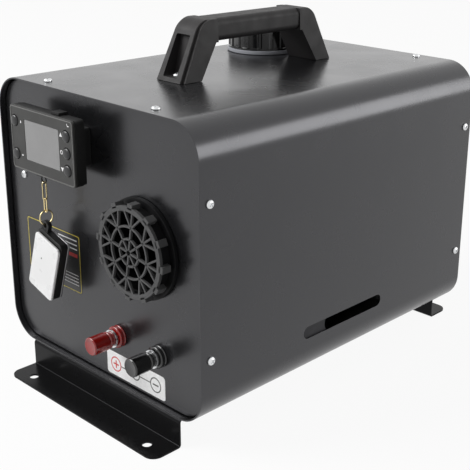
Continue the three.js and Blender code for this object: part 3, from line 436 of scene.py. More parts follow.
def pull_out(bm, faces, by):
    """Extrudes faces by a vector, and leaves a closed shape."""
    made = bmesh.ops.extrude_face_region(bm, geom=faces)["geom"]
    bmesh.ops.translate(bm, vec=by, verts=verts_of(made))
    bmesh.ops.recalc_face_normals(bm, faces=bm.faces)


def prism(points, by):
    """A flat outline of 3-D points pulled out by a vector."""
    bm = bmesh.new()
    face = bm.faces.new([bm.verts.new(p) for p in points])
    pull_out(bm, [face], by)
    return bm


def join(*parts):
    whole = bmesh.new()
    for part in parts:
        mesh = bpy.data.meshes.new("part")
        part.to_mesh(mesh)
        part.free()
        whole.from_mesh(mesh)
        bpy.data.meshes.remove(mesh)
    return whole


def refined(node):
    """A copy of a CAD node's mesh with its triangles merged and its flats made whole."""
    bm = bmesh.new()
    bm.from_mesh(frame["nodes"][node].data)
    bmesh.ops.remove_doubles(bm, verts=bm.verts, dist=10 * MERGE)
    bmesh.ops.dissolve_limit(bm, angle_limit=radians(1), verts=bm.verts, edges=bm.edges)
    return bm


def loose_object(name, bm):
    mesh = bpy.data.meshes.new(name)
    bm.to_mesh(mesh)
    bm.free()
    made = bpy.data.objects.new(name, mesh)
    bpy.context.scene.collection.objects.link(made)
    return made


def settle(obj):
    """Makes what the modifiers show into the object's own mesh."""
    bpy.context.view_layer.update()
    shown = obj.evaluated_get(bpy.context.evaluated_depsgraph_get())
    mesh = bpy.data.meshes.new_from_object(shown)
    obj.modifiers.clear()
    old, obj.data = obj.data, mesh
    bpy.data.meshes.remove(old)
    mesh.name = obj.name


def even_shading(obj, angle):
    """Smooth shading that keeps flat faces flat and edges past the angle sharp."""
    obj.data.shade_smooth()
    obj.data.set_sharp_from_angle(angle=radians(angle))
    normals = obj.modifiers.new("Even", "WEIGHTED_NORMAL")
    normals.keep_sharp = True
    settle(obj)


def add_boolean(obj, tool, operation):
    change = obj.modifiers.new("Change", "BOOLEAN")
    change.operation = operation
    change.solver = "EXACT"
    change.object = tool


def ease(obj, width, segments=2, angle=40):
    soften = obj.modifiers.new("Ease", "BEVEL")
    soften.width = width
    soften.segments = segments
    soften.limit_method = "ANGLE"
    soften.angle_limit = radians(angle)
    soften.use_clamp_overlap = True


def piece(name, bm, finish, body="case", stands_for=(), wall=0.0, cuts=(), adds=(), soft=0.0,
          segments=2, angle=40):
    """Finishes a piece: its wall, what is added or cut, eased edges, material, body and slot."""
    obj = loose_object(name, bm)
    if wall:
        shell = obj.modifiers.new("Wall", "SOLIDIFY")
        shell.thickness = wall
        shell.offset = -1
        shell.use_even_offset = True
    tools = [(loose_object("tool", t), "UNION") for t in adds]
    tools += [(loose_object("tool", t), "DIFFERENCE") for t in cuts]
    for tool, operation in tools:
        add_boolean(obj, tool, operation)
    if soft:
        ease(obj, soft, segments, angle)
    settle(obj)
    for tool, _ in tools:
        bpy.data.objects.remove(tool)
    even_shading(obj, angle)
    obj.data.materials.clear()
    obj.data.materials.append(finish_named(finish))
    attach(obj, body)
    if stands_for:
        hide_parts(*stands_for)
    return obj


# ---------------------------------------------------------------- case and panels
CORNER_STEPS = 20
SLOT_LEVEL = 0.079  # the middle of the side slots, above the floor
SLOT_FORWARD = 0.007  # how far their middle lies in front of the case's
FILLER_HOLE, DUCT_HOLE, INTAKE_HOLE, PIPE_HOLE = 0.0315, 0.0385, 0.052, 0.0135  # radii
PIPE_RADIUS = 0.012
PANEL_INSET = 0.0018  # the wrap's sheet and a little play


def open_box(size, middle, radius, open_sides):
    """A rounded box that is open to the front (-1), the back (1) or both."""
    bm = rounded_block(size, middle, radius, segments=CORNER_STEPS)
    ends = [f for f in bm.faces for side in open_sides if f.normal.y * side > FLAT_MATCH]
    bmesh.ops.delete(bm, geom=ends, context="FACES")
    return bm


def slot_cutter(sizes, x):
    middle, _ = box_of("case_wrap")
    size = (2 * THROUGH, sizes.slot_long, sizes.slot_high)
    place = (x, middle.y - SLOT_FORWARD, SLOT_LEVEL)
    just_round = sizes.slot_high / 2 - 10 * MERGE
    return rounded_block(size, place, just_round, axis=0, segments=10)


def build_case(sizes):
    middle, size = box_of("case_wrap")
    cap, _ = box_of("fuel_cap")
    bm = open_box(size, middle, sizes.case_corner, (-1, 1))
    cuts = [slot_cutter(sizes, side * size.x / 2) for side in (-1, 1)]
    cuts.append(drill(FILLER_HOLE, UP, (cap.x, cap.y, middle.z + size.z / 2)))
    piece("case_shell", bm, "black_sheet", stands_for=("case_wrap",), wall=sizes.sheet,
          cuts=cuts, soft=0.0003)


def slot_shield():
    """The grey heat shield just inside the right side's slot."""
    middle, size = box_of("case_wrap")
    behind_wrap, forward, bite_back, bite_radius = 0.0022, 0.058, 0.0335, 0.0095
    x, y = middle.x + size.x / 2 - behind_wrap, middle.y - forward
    thick, long, high = 0.0012, 0.056, 0.028
    bm = block((thick, long, high), (x, y, SLOT_LEVEL))
    bite = drill(bite_radius, RIGHT, (x, y + bite_back, SLOT_LEVEL))
    piece("slot_heat_shield", bm, "shield_sheet", cuts=[bite], soft=0.0002)


def build_panel(sizes, node, facing, holes):
    middle, size = box_of(node)
    corner = sizes.case_corner - PANEL_INSET
    bm = open_box(size, middle, corner, (-facing,))
    face = next(f for f in bm.faces if f.normal.y * facing > FLAT_MATCH)
    bevel(bm, list(face.edges), sizes.panel_fold, 4)
    piece(node.replace("panel", "cover"), bm, "black_sheet", stands_for=(node,),
          wall=sizes.sheet, cuts=holes, angle=30)


def front_holes():
    collar, _ = box_of("outlet_collar")
    return [drill(DUCT_HOLE, OUT_OF_PANEL, (collar.x, panel_face(), collar.z))]


def rear_holes():
    guard, _ = box_of("rear_intake_grille")
    _, panel_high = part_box("rear_panel")
    y = panel_high.y
    holes = [drill(INTAKE_HOLE, OUT_OF_PANEL, (guard.x, y, guard.z), 64)]
    for pipe in ("exhaust_pipe", "combustion_air_pipe"):
        low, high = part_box(pipe)
        end = ((low.x + high.x) / 2, y, low.z + PIPE_RADIUS)
        holes.append(drill(PIPE_HOLE, OUT_OF_PANEL, end))
    return holes


# ---------------------------------------------------------------- feet
WEB_INSET = 0.022  # from a foot's inner end to its upright web
BOLT_RADIUS = 0.0045
BOLT_INSET = 0.0135  # from a foot's outer edge
BOLT_SIDE = 0.09  # from the middle to each side


def foot_strip(low, high, facing, sheet):
    """The foot's lower side as a folded strip: flange, web and top flange."""
    outer, inner = (low.y, high.y) if facing < 0 else (high.y, low.y)
    web = inner + facing * WEB_INSET
    points = [(outer, low.z), (web, low.z), (web, high.z - sheet), (inner, high.z - sheet)]
    bm = bmesh.new()
    verts = [bm.verts.new((low.x, y, z)) for y, z in points]
    edges = [bm.edges.new(pair) for pair in zip(verts, verts[1:])]
    made = bmesh.ops.extrude_edge_only(bm, edges=edges)["geom"]
    bmesh.ops.translate(bm, vec=(high.x - low.x, 0, 0), verts=verts_of(made))
    return bm, outer


def face_down(bm):
    """Turns an open strip's faces down, so that its wall grows upwards."""
    for face in bm.faces:
        face.normal_update()
    bmesh.ops.recalc_face_normals(bm, faces=bm.faces)
    flat = max(bm.faces, key=lambda f: abs(f.normal.z))
    if flat.normal.z > 0:
        bmesh.ops.reverse_faces(bm, faces=bm.faces)


def build_foot(sizes, node, facing):
    low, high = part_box(node)
    bm, outer = foot_strip(low, high, facing, sizes.foot_sheet)
    corners = [v for v in bm.verts if abs(v.co.y - outer) < MERGE]
    bevel(bm, corners, sizes.foot_corner, 8, "VERTICES")
    sharp = radians(60)
    folds = [e for e in bm.edges if len(e.link_faces) == 2 and e.calc_face_angle(0) > sharp]
    bevel(bm, folds, sizes.foot_fold, 5)
    face_down(bm)
    y = outer - facing * BOLT_INSET
    holes = [drill(BOLT_RADIUS, UP, (x, y, low.z), 32) for x in (-BOLT_SIDE, BOLT_SIDE)]
    # The feet's finish is the powder coat darkened to 0.3, painted shade under the case.
    piece(node + "_sheet", bm, "foot_sheet", stands_for=(node,), wall=sizes.foot_sheet,
          cuts=holes, soft=0.0003)


# ---------------------------------------------------------------- handle
SLANT = 0.8  # a vertex bevel's width for a radius, at the corner of a leaning leg
LEG_STEP = 0.003  # how far a leg's inner side steps back under the grip
LEG_NARROWING = 0.17  # how much narrower a leg is at its top
GRIP_ROUNDING = 0.0065
GRIP_PLAY = 0.0004  # between the grip's ends and the legs, together


def leg_outline(sizes, inset, x):
    """Side outline of the front leg at this x, its outer side moved in by the inset."""
    low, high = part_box("handle_front_leg")
    grip_low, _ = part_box("handle_grip")
    outer = low.y + inset
    return [
        (x, outer, low.z), (x, outer + sizes.handle_lean, high.z), (x, high.y, high.z),
        (x, high.y, grip_low.z), (x, high.y - LEG_STEP, grip_low.z),
        (x, low.y + sizes.handle_thickness, low.z),
    ]


def leg_slab(sizes, inset, half):
    bm = bmesh.new()
    verts = [bm.verts.new(p) for p in leg_outline(sizes, inset, -half)]
    bm.faces.new(verts)
    bevel(bm, [verts[1]], sizes.handle_corner * SLANT, 8, "VERTICES")
    pull_out(bm, list(bm.faces), (2 * half, 0, 0))
    return bm


def leg_pocket(low):
    """The pocket for the fixing screw, open to the leg's outer side."""
    half_wide, outside = 0.0095, low.y - 0.005
    floor, top = low.z + 0.004, low.z + 0.0425
    outline = [
        (outside, floor), (low.y + 0.017, floor), (low.y + 0.026, top), (low.y + 0.014, top),
        (outside, top),
    ]
    bm = prism([(-half_wide, y, z) for y, z in outline], (2 * half_wide, 0, 0))
    bevel(bm, edges_along(bm, 1), 0.0015, 3)
    return bm


def narrow_upwards(bm, low, high):
    """Brings the top of a leg in towards its middle."""
    for vert in bm.verts:
        rise = (vert.co.z - low.z) / (high.z - low.z)
        vert.co.x *= 1 - LEG_NARROWING * rise


def build_leg(sizes, node, turned_round):
    low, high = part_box("handle_front_leg")
    half = (high.x - low.x) / 2
    core = leg_slab(sizes, 0, half - sizes.handle_step)
    cheeks = leg_slab(sizes, sizes.handle_step, half)
    pocket = leg_pocket(low)
    for part in (core, cheeks):
        narrow_upwards(part, low, high)
    if turned_round:
        grip, _ = box_of("handle_grip")
        turn = Matrix.Translation((0, grip.y, 0)) @ Matrix.Rotation(pi, 4, "Z")
        turn = turn @ Matrix.Translation((0, -grip.y, 0))
        for part in (core, cheeks, pocket):
            move(part, turn)
    piece(node + "_moulding", core, "handle_plastic", stands_for=(node,), adds=[cheeks],
          cuts=[pocket], soft=0.0008, segments=3, angle=28)


def build_grip():
    middle, size = box_of("handle_grip")
    _, front_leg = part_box("handle_front_leg")
    between_legs = 2 * (middle.y - front_leg.y) - GRIP_PLAY
    bm = rounded_block((size.x, between_legs, size.z), middle, GRIP_ROUNDING)
    piece("handle_grip_moulding", bm, "handle_plastic", stands_for=("handle_grip",),
          soft=0.0006)


# ---------------------------------------------------------------- screws
HEAD_HEIGHT = 0.0024
PAN_HEAD = in_metres([
    (0, 0), (4.0, 0), (4.0, 0.7), (3.75, 1.35), (3.1, 1.95), (2.0, 2.3), (0, 2.4),
])
RECESS_ARM = (0.0042, 0.00085, 0.0016)  # one bar of the cross-shaped recess
RECESS_HEIGHT = 0.0021
RECESS_TURN = 0.5  # in radians
PANEL_SCREW_X, PANEL_SCREW_Z = -0.118, 0.207


def cross_recess(direction, base):
    arms = []
    for turn in (0, pi / 2):
        arm = block(RECESS_ARM, (0, 0, RECESS_HEIGHT))
        move(arm, Matrix.Rotation(turn + RECESS_TURN, 4, "Z"))
        point(arm, direction, base)
        arms.append(arm)
    return arms


def build_screw(name, direction, base, stands_for=()):
    head = turned(PAN_HEAD, direction, base, 28)
    piece(name, head, "zinc", stands_for=stands_for, cuts=cross_recess(direction, base),
          soft=0.00008)


def screw_seat(node):
    """Direction of a CAD screw, and the middle of its head's underside."""
    low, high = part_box(node)
    middle = (low + high) / 2
    if node.startswith("left_"):
        return -RIGHT, Vector((low.x + HEAD_HEIGHT, middle.y, middle.z))
    if node.startswith("right_"):
        return RIGHT, Vector((high.x - HEAD_HEIGHT, middle.y, middle.z))
    return UP, Vector((middle.x, middle.y, high.z - HEAD_HEIGHT))


# ---------------------------------------------------------------- fuel cap
STEPS_PER_RIB = 10
RIB_SHARE = 0.4  # how much of each rib's pitch the rib takes up
CAP_BORE, CAP_DEPTH = 0.0325, 0.0152  # of the cap's hollow
FILLER_BORE, SEAL_BORE = 0.0303, 0.024  # of the rings under the cap


def ribbed_wall(radius, ribs, height, bottom, top):
    """The cap's wall as a ring of rounded ribs and flat valleys."""
    bm = bmesh.new()
    steps = ribs * STEPS_PER_RIB
    bmesh.ops.create_circle(bm, cap_ends=True, segments=steps, radius=radius)
    for vert in bm.verts:
        turn = (Vector((1, 0)).angle_signed(vert.co.xy, 0) * ribs / (2 * pi)) % 1
        off_middle = turn - 0.5
        rib = 0.0
        if abs(off_middle) < RIB_SHARE / 2:
            rib = max(0.0, cos(off_middle * pi / RIB_SHARE)) ** 0.5
        vert.co.xy *= 1 - height * (1 - rib) / radius
        vert.co.z = bottom
    pull_out(bm, list(bm.faces), (0, 0, top - bottom))
    return bm


def build_cap(sizes):
    low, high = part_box("fuel_cap")
    seat = ((low.x + high.x) / 2, (low.y + high.y) / 2, low.z)
    radius, tall = (high.x - low.x) / 2, high.z - low.z
    rim, dish, lip_top = radius - 0.0022, tall - 0.0012, 0.0024
    wall = ribbed_wall(radius, sizes.cap_ribs, sizes.cap_rib_height, 0.0022, dish)
    lip = turned([(0, 0), (radius, 0), (radius, 0.0016), (radius - 0.0014, lip_top),
                  (0, lip_top)], UP, ORIGIN, MANY_STEPS)
    crown = turned([(0, tall - 0.003), (rim, tall - 0.003), (rim, tall - 0.001),
                    (rim - 0.0012, tall), (rim - 0.0068, tall), (rim - 0.0083, dish),
                    (0, dish)], UP, ORIGIN, MANY_STEPS)
    for part in (wall, lip, crown):
        move(part, Matrix.Translation(seat))
    inside = rod(CAP_BORE, -0.001, CAP_DEPTH, UP, seat)
    piece("fuel_cap_ribbed", wall, "cap_plastic", "fuel_cap", ("fuel_cap",),
          adds=[lip, crown], cuts=[inside], angle=35)


def flat_ring(node, inner, steps):
    """A ring that fills its CAD node's box, with this bore."""
    middle, size = box_of(node)
    return ring(inner, size.x / 2, -size.z / 2, size.z / 2, UP, middle, steps)


def build_filler_ring():
    piece("filler_ring_moulding", flat_ring("filler_ring", FILLER_BORE, MANY_STEPS),
          "ring_plastic", stands_for=("filler_ring",), soft=0.0007)
    piece("cap_seal_ring", flat_ring("cap_seal", SEAL_BORE, 64), "rubber", "cap_seal",
          ("cap_seal",), soft=0.0004)


# ---------------------------------------------------------------- warm-air outlet
SPIGOT_BORE, SPIGOT_RADIUS = 0.0355, 0.0375
FLANGE_RADIUS, FLANGE_FRONT, FLANGE_BACK = 0.047, 0.0078, 0.0118
# The grille's rim, the dark skirt behind it, and the bars inside it. The skirt and the collar take
# a black darker than the other mouldings, painted shade round the outlet and between the lugs.
GRILLE_BORE, GRILLE_RADIUS, GRILLE_THICK = 0.0378, 0.0425, 0.0032
SKIRT_WALL, SKIRT_START = 0.0022, 0.0028
HUB_RADIUS, HUB_RING, FORK_RING, WEB_THICK = 0.0028, 0.0125, 0.024, 0.0026
INTO_RIM = 0.0005
# Spokes and lugs: how many, and the angle of the first.
SPOKES, SPOKE_START, FORK_SPREAD = 8, 10, 16
LUGS, LUG_START = 12, 5
LUG_DEPTH, LUG_REACH, LUG_WIDTH = 0.0095, 0.0031, 0.0064


def build_collar():
    front, deep = front_of("outlet_collar")
    profile = [
        (SPIGOT_BORE, 0), (SPIGOT_RADIUS, 0), (SPIGOT_RADIUS, -FLANGE_FRONT),
        (FLANGE_RADIUS, -FLANGE_FRONT), (FLANGE_RADIUS, -FLANGE_BACK),
        (SPIGOT_RADIUS, -FLANGE_BACK), (SPIGOT_RADIUS, -deep), (SPIGOT_BORE, -deep),
    ]
    bm = turned(profile, OUT_OF_PANEL, front, MANY_STEPS, closed=True)
    # The collar's finish is darker than the other black mouldings, as painted shade round the
    # outlet.
    piece("outlet_collar_moulding", bm, "collar_plastic_painted_shade", stands_for=("outlet_collar",),
          soft=0.0006)


def web_bar(start, end, width):
    """A bar of the grille's web between two (x, z) points of its face."""
    (x0, z0), (x1, z1) = start, end
    along = Vector((x1 - x0, 0, z1 - z0))
    bm = block((along.length, WEB_THICK, width), (0, WEB_THICK / 2, 0))
    middle = Matrix.Translation(((x0 + x1) / 2, 0, (z0 + z1) / 2))
    move(bm, middle @ turn_between(RIGHT, along.normalized()))
    return bm


def polar(radius, angle):
    return radius * cos(radians(angle)), -radius * sin(radians(angle))


def web_bars(width):
    """Spokes that each fork into three on their way from the hub to the rim."""
    bars = []
    for i in range(SPOKES):
        angle = SPOKE_START + i * 360 / SPOKES
        fork = polar(FORK_RING, angle)
        bars.append(web_bar((0, 0), fork, width))
        for side in (-FORK_SPREAD, 0, FORK_SPREAD):
            bars.append(web_bar(fork, polar(GRILLE_BORE + INTO_RIM, angle + side), width))
    return bars


def lug(angle):
    sunk, middle = 0.002, GRILLE_RADIUS + LUG_REACH / 2 - 0.001
    bm = block((LUG_REACH + sunk, LUG_DEPTH, LUG_WIDTH), (middle, LUG_DEPTH / 2, 0))
    move(bm, Matrix.Rotation(radians(angle), 4, "Y"))
    return bm


def build_grille(sizes):
    front, deep = front_of("outlet_grille")
    skirt = ring(GRILLE_BORE, GRILLE_BORE + SKIRT_WALL, SKIRT_START, deep, TOWARDS_BACK, front,
                 MANY_STEPS)
    piece("outlet_grille_skirt", skirt, "collar_plastic_painted_shade", "grille")
    parts = [
        ring(GRILLE_BORE, GRILLE_RADIUS, 0, GRILLE_THICK, TOWARDS_BACK, ORIGIN, MANY_STEPS),
        rod(HUB_RADIUS, 0, WEB_THICK, TOWARDS_BACK, ORIGIN, 24),
    ]
    half = sizes.grille_bar / 2
    parts += [ring(radius - half, radius + half, 0, WEB_THICK, TOWARDS_BACK, ORIGIN)
              for radius in (HUB_RING, FORK_RING)]
    parts += web_bars(sizes.grille_bar)
    parts += [lug(LUG_START + i * 360 / LUGS) for i in range(LUGS)]
    whole = join(*parts)
    move(whole, Matrix.Translation(front))
    piece("outlet_grille_web", whole, "grille_plastic", "grille", ("outlet_grille",),
          soft=0.0003)


# ---------------------------------------------------------------- controller
FACE_ROUNDING = 0.0035
HOLE_PLAY = 0.0004  # round the display and the keys
# The rim is a thin raised strip round the face; its pale grey is a painted highlight.
RIM_INSET, RIM_ROUNDING, RIM_WIDTH, RIM_THICK = 0.0016, 0.003, 0.0009, 0.0003
WELL_RADIUS, WELL_DEPTH = 0.0064, 0.0024  # behind each key
MARK_THICK = 0.00008
MARK_SCALE = 1.35 * MM  # one unit of the outlines below
MARK_LEFT, MARK_RIGHT = -0.0078, 0.0098  # from a key's middle to the mark beside it
UP_MARK = [(-1.5, -1.2), (1.5, -1.2), (0, 1.6)]
DOWN_MARK = [(-1.5, 1.2), (0, -1.6), (1.5, 1.2)]
CORNER_MARK = [(-1, 1), (-0.6, 1), (-0.2, -0.4), (1.3, -0.4), (1.3, -0.9), (-0.5, -0.9)]


def outline_strip(size, radius, width, thick, middle):
    """A thin rounded frame that lies in the panel's plane."""
    bm = bmesh.new()
    place = Matrix.Translation(middle) @ Matrix.Rotation(pi / 2, 4, "X")
    place = place @ Matrix.Diagonal((size[0], size[1], 1, 1))
    bmesh.ops.create_grid(bm, x_segments=1, y_segments=1, size=0.5, matrix=place)
    bevel(bm, list(bm.verts), radius, 5, "VERTICES")
    faces = list(bm.faces)
    bmesh.ops.inset_region(
        bm, faces=faces, thickness=width, use_even_offset=True, use_boundary=True
    )
    bmesh.ops.delete(bm, geom=faces, context="FACES")
    pull_out(bm, list(bm.faces), (0, -thick, 0))
    return bm


def key_spots():
    names = ("menu_button", "ok_button", "up_button", "power_button", "down_button")
    return {name: box_of(name)[0] for name in names}


def build_bezel(sizes):
    middle, size = box_of("controller_bezel")
    screen, screen_size = box_of("display_window")
    bm = rounded_block(size, middle, FACE_ROUNDING)
    front = middle.y - size.y / 2
    window = block((screen_size.x + HOLE_PLAY, THROUGH, screen_size.z + HOLE_PLAY), screen)
    holes = [drill(sizes.key_radius + HOLE_PLAY, OUT_OF_PANEL, (spot.x, front, spot.z), 40)
             for spot in key_spots().values()]
    piece("controller_face", bm, "grey_plastic", stands_for=("controller_bezel",),
          cuts=[window, *holes], soft=0.0007, segments=3)
    # The rim's pale finish paints the highlight along the face's edge.
    rim = outline_strip((size.x - RIM_INSET, size.z - RIM_INSET), RIM_ROUNDING, RIM_WIDTH,
                        RIM_THICK, (middle.x, front, middle.z))
    piece("controller_face_highlight_rim", rim, "rim_plastic_painted_highlight", soft=0.0001)


def build_key(sizes, node, body):
    front, deep = front_of(node)
    radius = sizes.key_radius
    profile = [
        (0, 0.0001), (radius * 0.6, -0.0001), (radius - 0.0012, -0.0004),
        (radius - 0.0003, -0.0009), (radius, -0.0016), (radius, -deep), (0, -deep),
    ]
    bm = turned(profile, OUT_OF_PANEL, (front.x, front.y + 0.0001, front.z), 40)
    piece(node.replace("button", "key_cap"), bm, "key_plastic", body, (node,))


def mark_plate(outline, middle):
    """A flat printed mark, its outline drawn round this middle."""
    points = [(middle[0] + x * MARK_SCALE, middle[1], middle[2] + z * MARK_SCALE)
              for x, z in outline]
    return prism(points, (0, -MARK_THICK, 0))


def build_key_marks():
    spots = key_spots()
    face, size = box_of("controller_bezel")
    y = face.y - size.y / 2
    up, power, down = spots["up_button"], spots["power_button"], spots["down_button"]
    menu, tick = spots["menu_button"], spots["ok_button"]
    parts = [
        mark_plate(UP_MARK, (up.x + MARK_LEFT, y, up.z)),
        mark_plate(DOWN_MARK, (down.x + MARK_LEFT, y, down.z)),
        ring(0.0012, 0.0019, 0, MARK_THICK, OUT_OF_PANEL, (power.x + MARK_LEFT, y, power.z),
             24),
        block((0.0014, 0.0001, 0.0022), (menu.x + MARK_RIGHT, y, menu.z)),
        block((0.0024, 0.0001, 0.0012), (tick.x + MARK_RIGHT, y, tick.z)),
        mark_plate(CORNER_MARK, (up.x + 0.0035, y, up.z + 0.0105)),
    ]
    piece("controller_key_marks", join(*parts), "label_white")


def build_screen():
    piece("display_glass", refined("display_window"), "display",
          stands_for=("display_window",), soft=0.0002)


def build_housing():
    middle, size = box_of("controller_housing")
    bm = rounded_block(size, middle, FACE_ROUNDING)
    front = middle.y - size.y / 2
    wells = [rod(WELL_RADIUS, -WELL_DEPTH, THROUGH, OUT_OF_PANEL, (spot.x, front, spot.z), 32)
             for spot in key_spots().values()]
    piece("controller_case", bm, "black_plastic", stands_for=("controller_housing",),
          cuts=wells, soft=0.0005)
    piece("controller_cradle_moulding", refined("controller_cradle"), "black_plastic",
          stands_for=("controller_cradle",), soft=0.0003)


# ---------------------------------------------------------------- binding posts
POST_STEPS = 56
STUD_LENGTH = 0.009  # behind the post's flange
WASHER_BORE = 0.0033  # and the knob's
POST_BASE = in_metres([
    (0, 29.4), (3, 29.4), (3, 7.3), (7.2, 7.3), (7.2, 6.4), (9.4, 6.4), (10.6, 5.4),
    (10.6, 2.2), (9.8, 1.6), (10.6, 1), (10.6, 0), (5, 0), (5, -9), (0, -9),
])
KNOB_FRONT = in_metres([
    (0, -0.4), (6.6, -0.4), (7.2, 0), (7.9, 0), (8.8, -0.9), (8.8, -16.5), (7.4, -17.4),
    (7.4, -18.6), (8.2, -19.2), (8.2, -20.2), (7.2, -20.8),
])
KNOB_BORE = 0.004  # the knob's bore ends this far behind its front


def build_post(colour_name, finish):
    post = colour_name + "_post"
    low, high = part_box(post + "_base")
    axis = (low + high) / 2
    flange_back = (axis.x, high.y - STUD_LENGTH, axis.z)
    base = turned(POST_BASE, OUT_OF_PANEL, flange_back, POST_STEPS)
    piece(post + "_flange", base, finish, stands_for=(post + "_base",), soft=0.0003)

    middle, size = box_of(post + "_washer")
    washer = ring(WASHER_BORE, size.x / 2, -size.y / 2, size.y / 2, OUT_OF_PANEL, middle,
                  POST_STEPS)
    piece(post + "_ring", washer, "zinc", colour_name + "_washer", (post + "_washer",),
          soft=0.0003)

    front, deep = front_of(post + "_knob")
    back = [(KNOB_FRONT[-1][0], -deep), (WASHER_BORE, -deep), (WASHER_BORE, -KNOB_BORE),
            (0, -KNOB_BORE)]
    knob = turned(KNOB_FRONT + back, OUT_OF_PANEL, (axis.x, front.y, axis.z), POST_STEPS)
    piece(post + "_cap", knob, finish, colour_name + "_knob", (post + "_knob",), soft=0.0003)


# ---------------------------------------------------------------- chain and remote
WIRE = 0.00075  # its radius
LINK_END_STEPS = 8
RING_STEPS = 48
# Each solid of the remote, its body and the ease of its edges.
REMOTE_PARTS = (
    ("remote_body", "remote", 0.0005), ("remote_cover", "remote_cover", 0.0009),
    ("remote_back", "remote", 0.0005),
)


def wire(points, name, node, body):
    """A closed wire bent through these points."""
    curve = bpy.data.curves.new(name, "CURVE")
    curve.dimensions = "3D"
    curve.bevel_depth = WIRE
    curve.bevel_resolution = 3
    line = curve.splines.new("POLY")
    line.points.add(len(points) - 1)
    for spot, place in zip(line.points, points):
        spot.co = (*place, 1)
    line.use_cyclic_u = True
    drawn = bpy.data.objects.new(name + "_line", curve)
    bpy.context.scene.collection.objects.link(drawn)
    bpy.context.view_layer.update()
    bm = bmesh.new()
    bm.from_mesh(drawn.to_mesh())
    drawn.to_mesh_clear()
    bpy.data.objects.remove(drawn)
    bmesh.ops.remove_doubles(bm, verts=bm.verts, dist=MERGE)
    bmesh.ops.recalc_face_normals(bm, faces=bm.faces)
    piece(name, bm, SLOT_OF[node], body, (node,), angle=60)


def link_points(middle, half_width, half_height):
    """A long upright loop with round ends."""
    points = []
    straight = half_height - half_width
    for end in (1, -1):
        for i in range(LINK_END_STEPS + 1):
            angle = i / LINK_END_STEPS * pi
            side = end * half_width * cos(angle)
            rise = end * (straight + half_width * sin(angle))
            points.append(middle + RIGHT * side + UP * rise)
    return points


def build_chain():
    piece("upper_chain_link_wire", refined("upper_chain_link"), "gold", "chain",
          ("upper_chain_link",), angle=60)
    middle, size = box_of("lower_chain_link")
    points = link_points(middle, size.x / 2 - WIRE, size.z / 2 - WIRE)
    wire(points, "lower_chain_link_wire", "lower_chain_link", "chain")
    middle, size = box_of("key_ring")
    radius = size.z / 2 - WIRE
    turns = [i / RING_STEPS * 2 * pi for i in range(RING_STEPS)]
    points = [(middle.x, middle.y + radius * cos(turn), middle.z + radius * sin(turn))
              for turn in turns]
    wire(points, "key_ring_wire", "key_ring", "chain")


def build_remote():
    for node, body, soft in REMOTE_PARTS:
        piece(node + "_shell", refined(node), SLOT_OF[node], body, (node,), soft=soft,
              segments=3, angle=50)
    front, _ = front_of("remote_cover")
    spot = front + Vector((-0.002, 0.00004, 0.008))
    light = rod(0.0009, -0.0004, 0.0001, OUT_OF_PANEL, spot, 20)
    piece("remote_light", light, "label_grey", "remote_cover")


# ---------------------------------------------------------------- labels
PLATE_THICK, PLATE_ROUNDING = 0.00012, 0.003
INK = 0.00006  # thickness of a printed mark
DATA_X, DATA_Z, DATA_SIZE = -0.075, 0.1338, (0.088, 0.0605)
KEYLINE_INSET, KEYLINE_ROUNDING, KEYLINE_WIDTH = 0.0016, 0.0024, 0.0008
# Ruled bars: how many, their size, the middle of the first, and the step down to the next.
RULES = (
    (3, (0.03, INK, 0.0013), (0.024, 0.024), 0.0045),
    (4, (0.046, INK, 0.0007), (0.016, -0.012), 0.0034),
)
BAND_SIZE, BAND_PLACE = (0.014, INK, 0.0038), (0.032, 0.0085)
POLARITY_Z, POLARITY_SIZE = 0.0474, (0.085, 0.0245)
PLUS_X, MINUS_X = 0.018, 0.076
# The circled signs, the round socket mark between them, and the line that joins them.
SIGN_RADIUS, SIGN_LINE, SIGN_ARM, SIGN_BAR = 0.0077, 0.0012, 0.0082, 0.0015
SOCKET_RADIUS, SOCKET_DOT = 0.0063, 0.0024
LINK_LINE = 0.0011


def panel_face():
    low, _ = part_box("front_panel")
    return low.y


def label_plate(size, middle):
    wide, high = size
    return rounded_block((wide, PLATE_THICK, high), middle, PLATE_ROUNDING, segments=5)


def build_data_label():
    """A plain black plate with a yellow keyline and blank ruled lines."""
    x, z, y = DATA_X, DATA_Z, panel_face()
    wide, high = DATA_SIZE
    piece("data_label", label_plate(DATA_SIZE, (x, y - PLATE_THICK / 2, z)), "label_black")
    keyline = outline_strip((wide - KEYLINE_INSET, high - KEYLINE_INSET), KEYLINE_ROUNDING,
                            KEYLINE_WIDTH, INK, (x, y - PLATE_THICK, z))
    piece("data_label_keyline", keyline, "label_yellow")
    on_plate = y - PLATE_THICK - INK / 2
    rules = [block(size, (x + right, on_plate, z + up - i * step))
             for count, size, (right, up), step in RULES for i in range(count)]
    piece("data_label_rules", join(*rules), "label_white")
    right, up = BAND_PLACE
    band = block(BAND_SIZE, (x + right, on_plate, z + up))
    piece("data_label_band", band, "label_red")


def printed_ring(radius, x, y):
    """A printed circle of the polarity label."""
    return ring(radius - SIGN_LINE, radius, 0, INK, OUT_OF_PANEL, (x, y, POLARITY_Z), 40)


def sign(x, y, upright):
    """A circled minus of the polarity label, or a plus where it has an upright."""
    middle = (x, y - INK / 2, POLARITY_Z)
    parts = [printed_ring(SIGN_RADIUS, x, y),
             block((SIGN_ARM, INK, SIGN_BAR), middle)]
    if upright:
        parts.append(block((SIGN_BAR, MARK_THICK, SIGN_ARM), middle))
    return parts


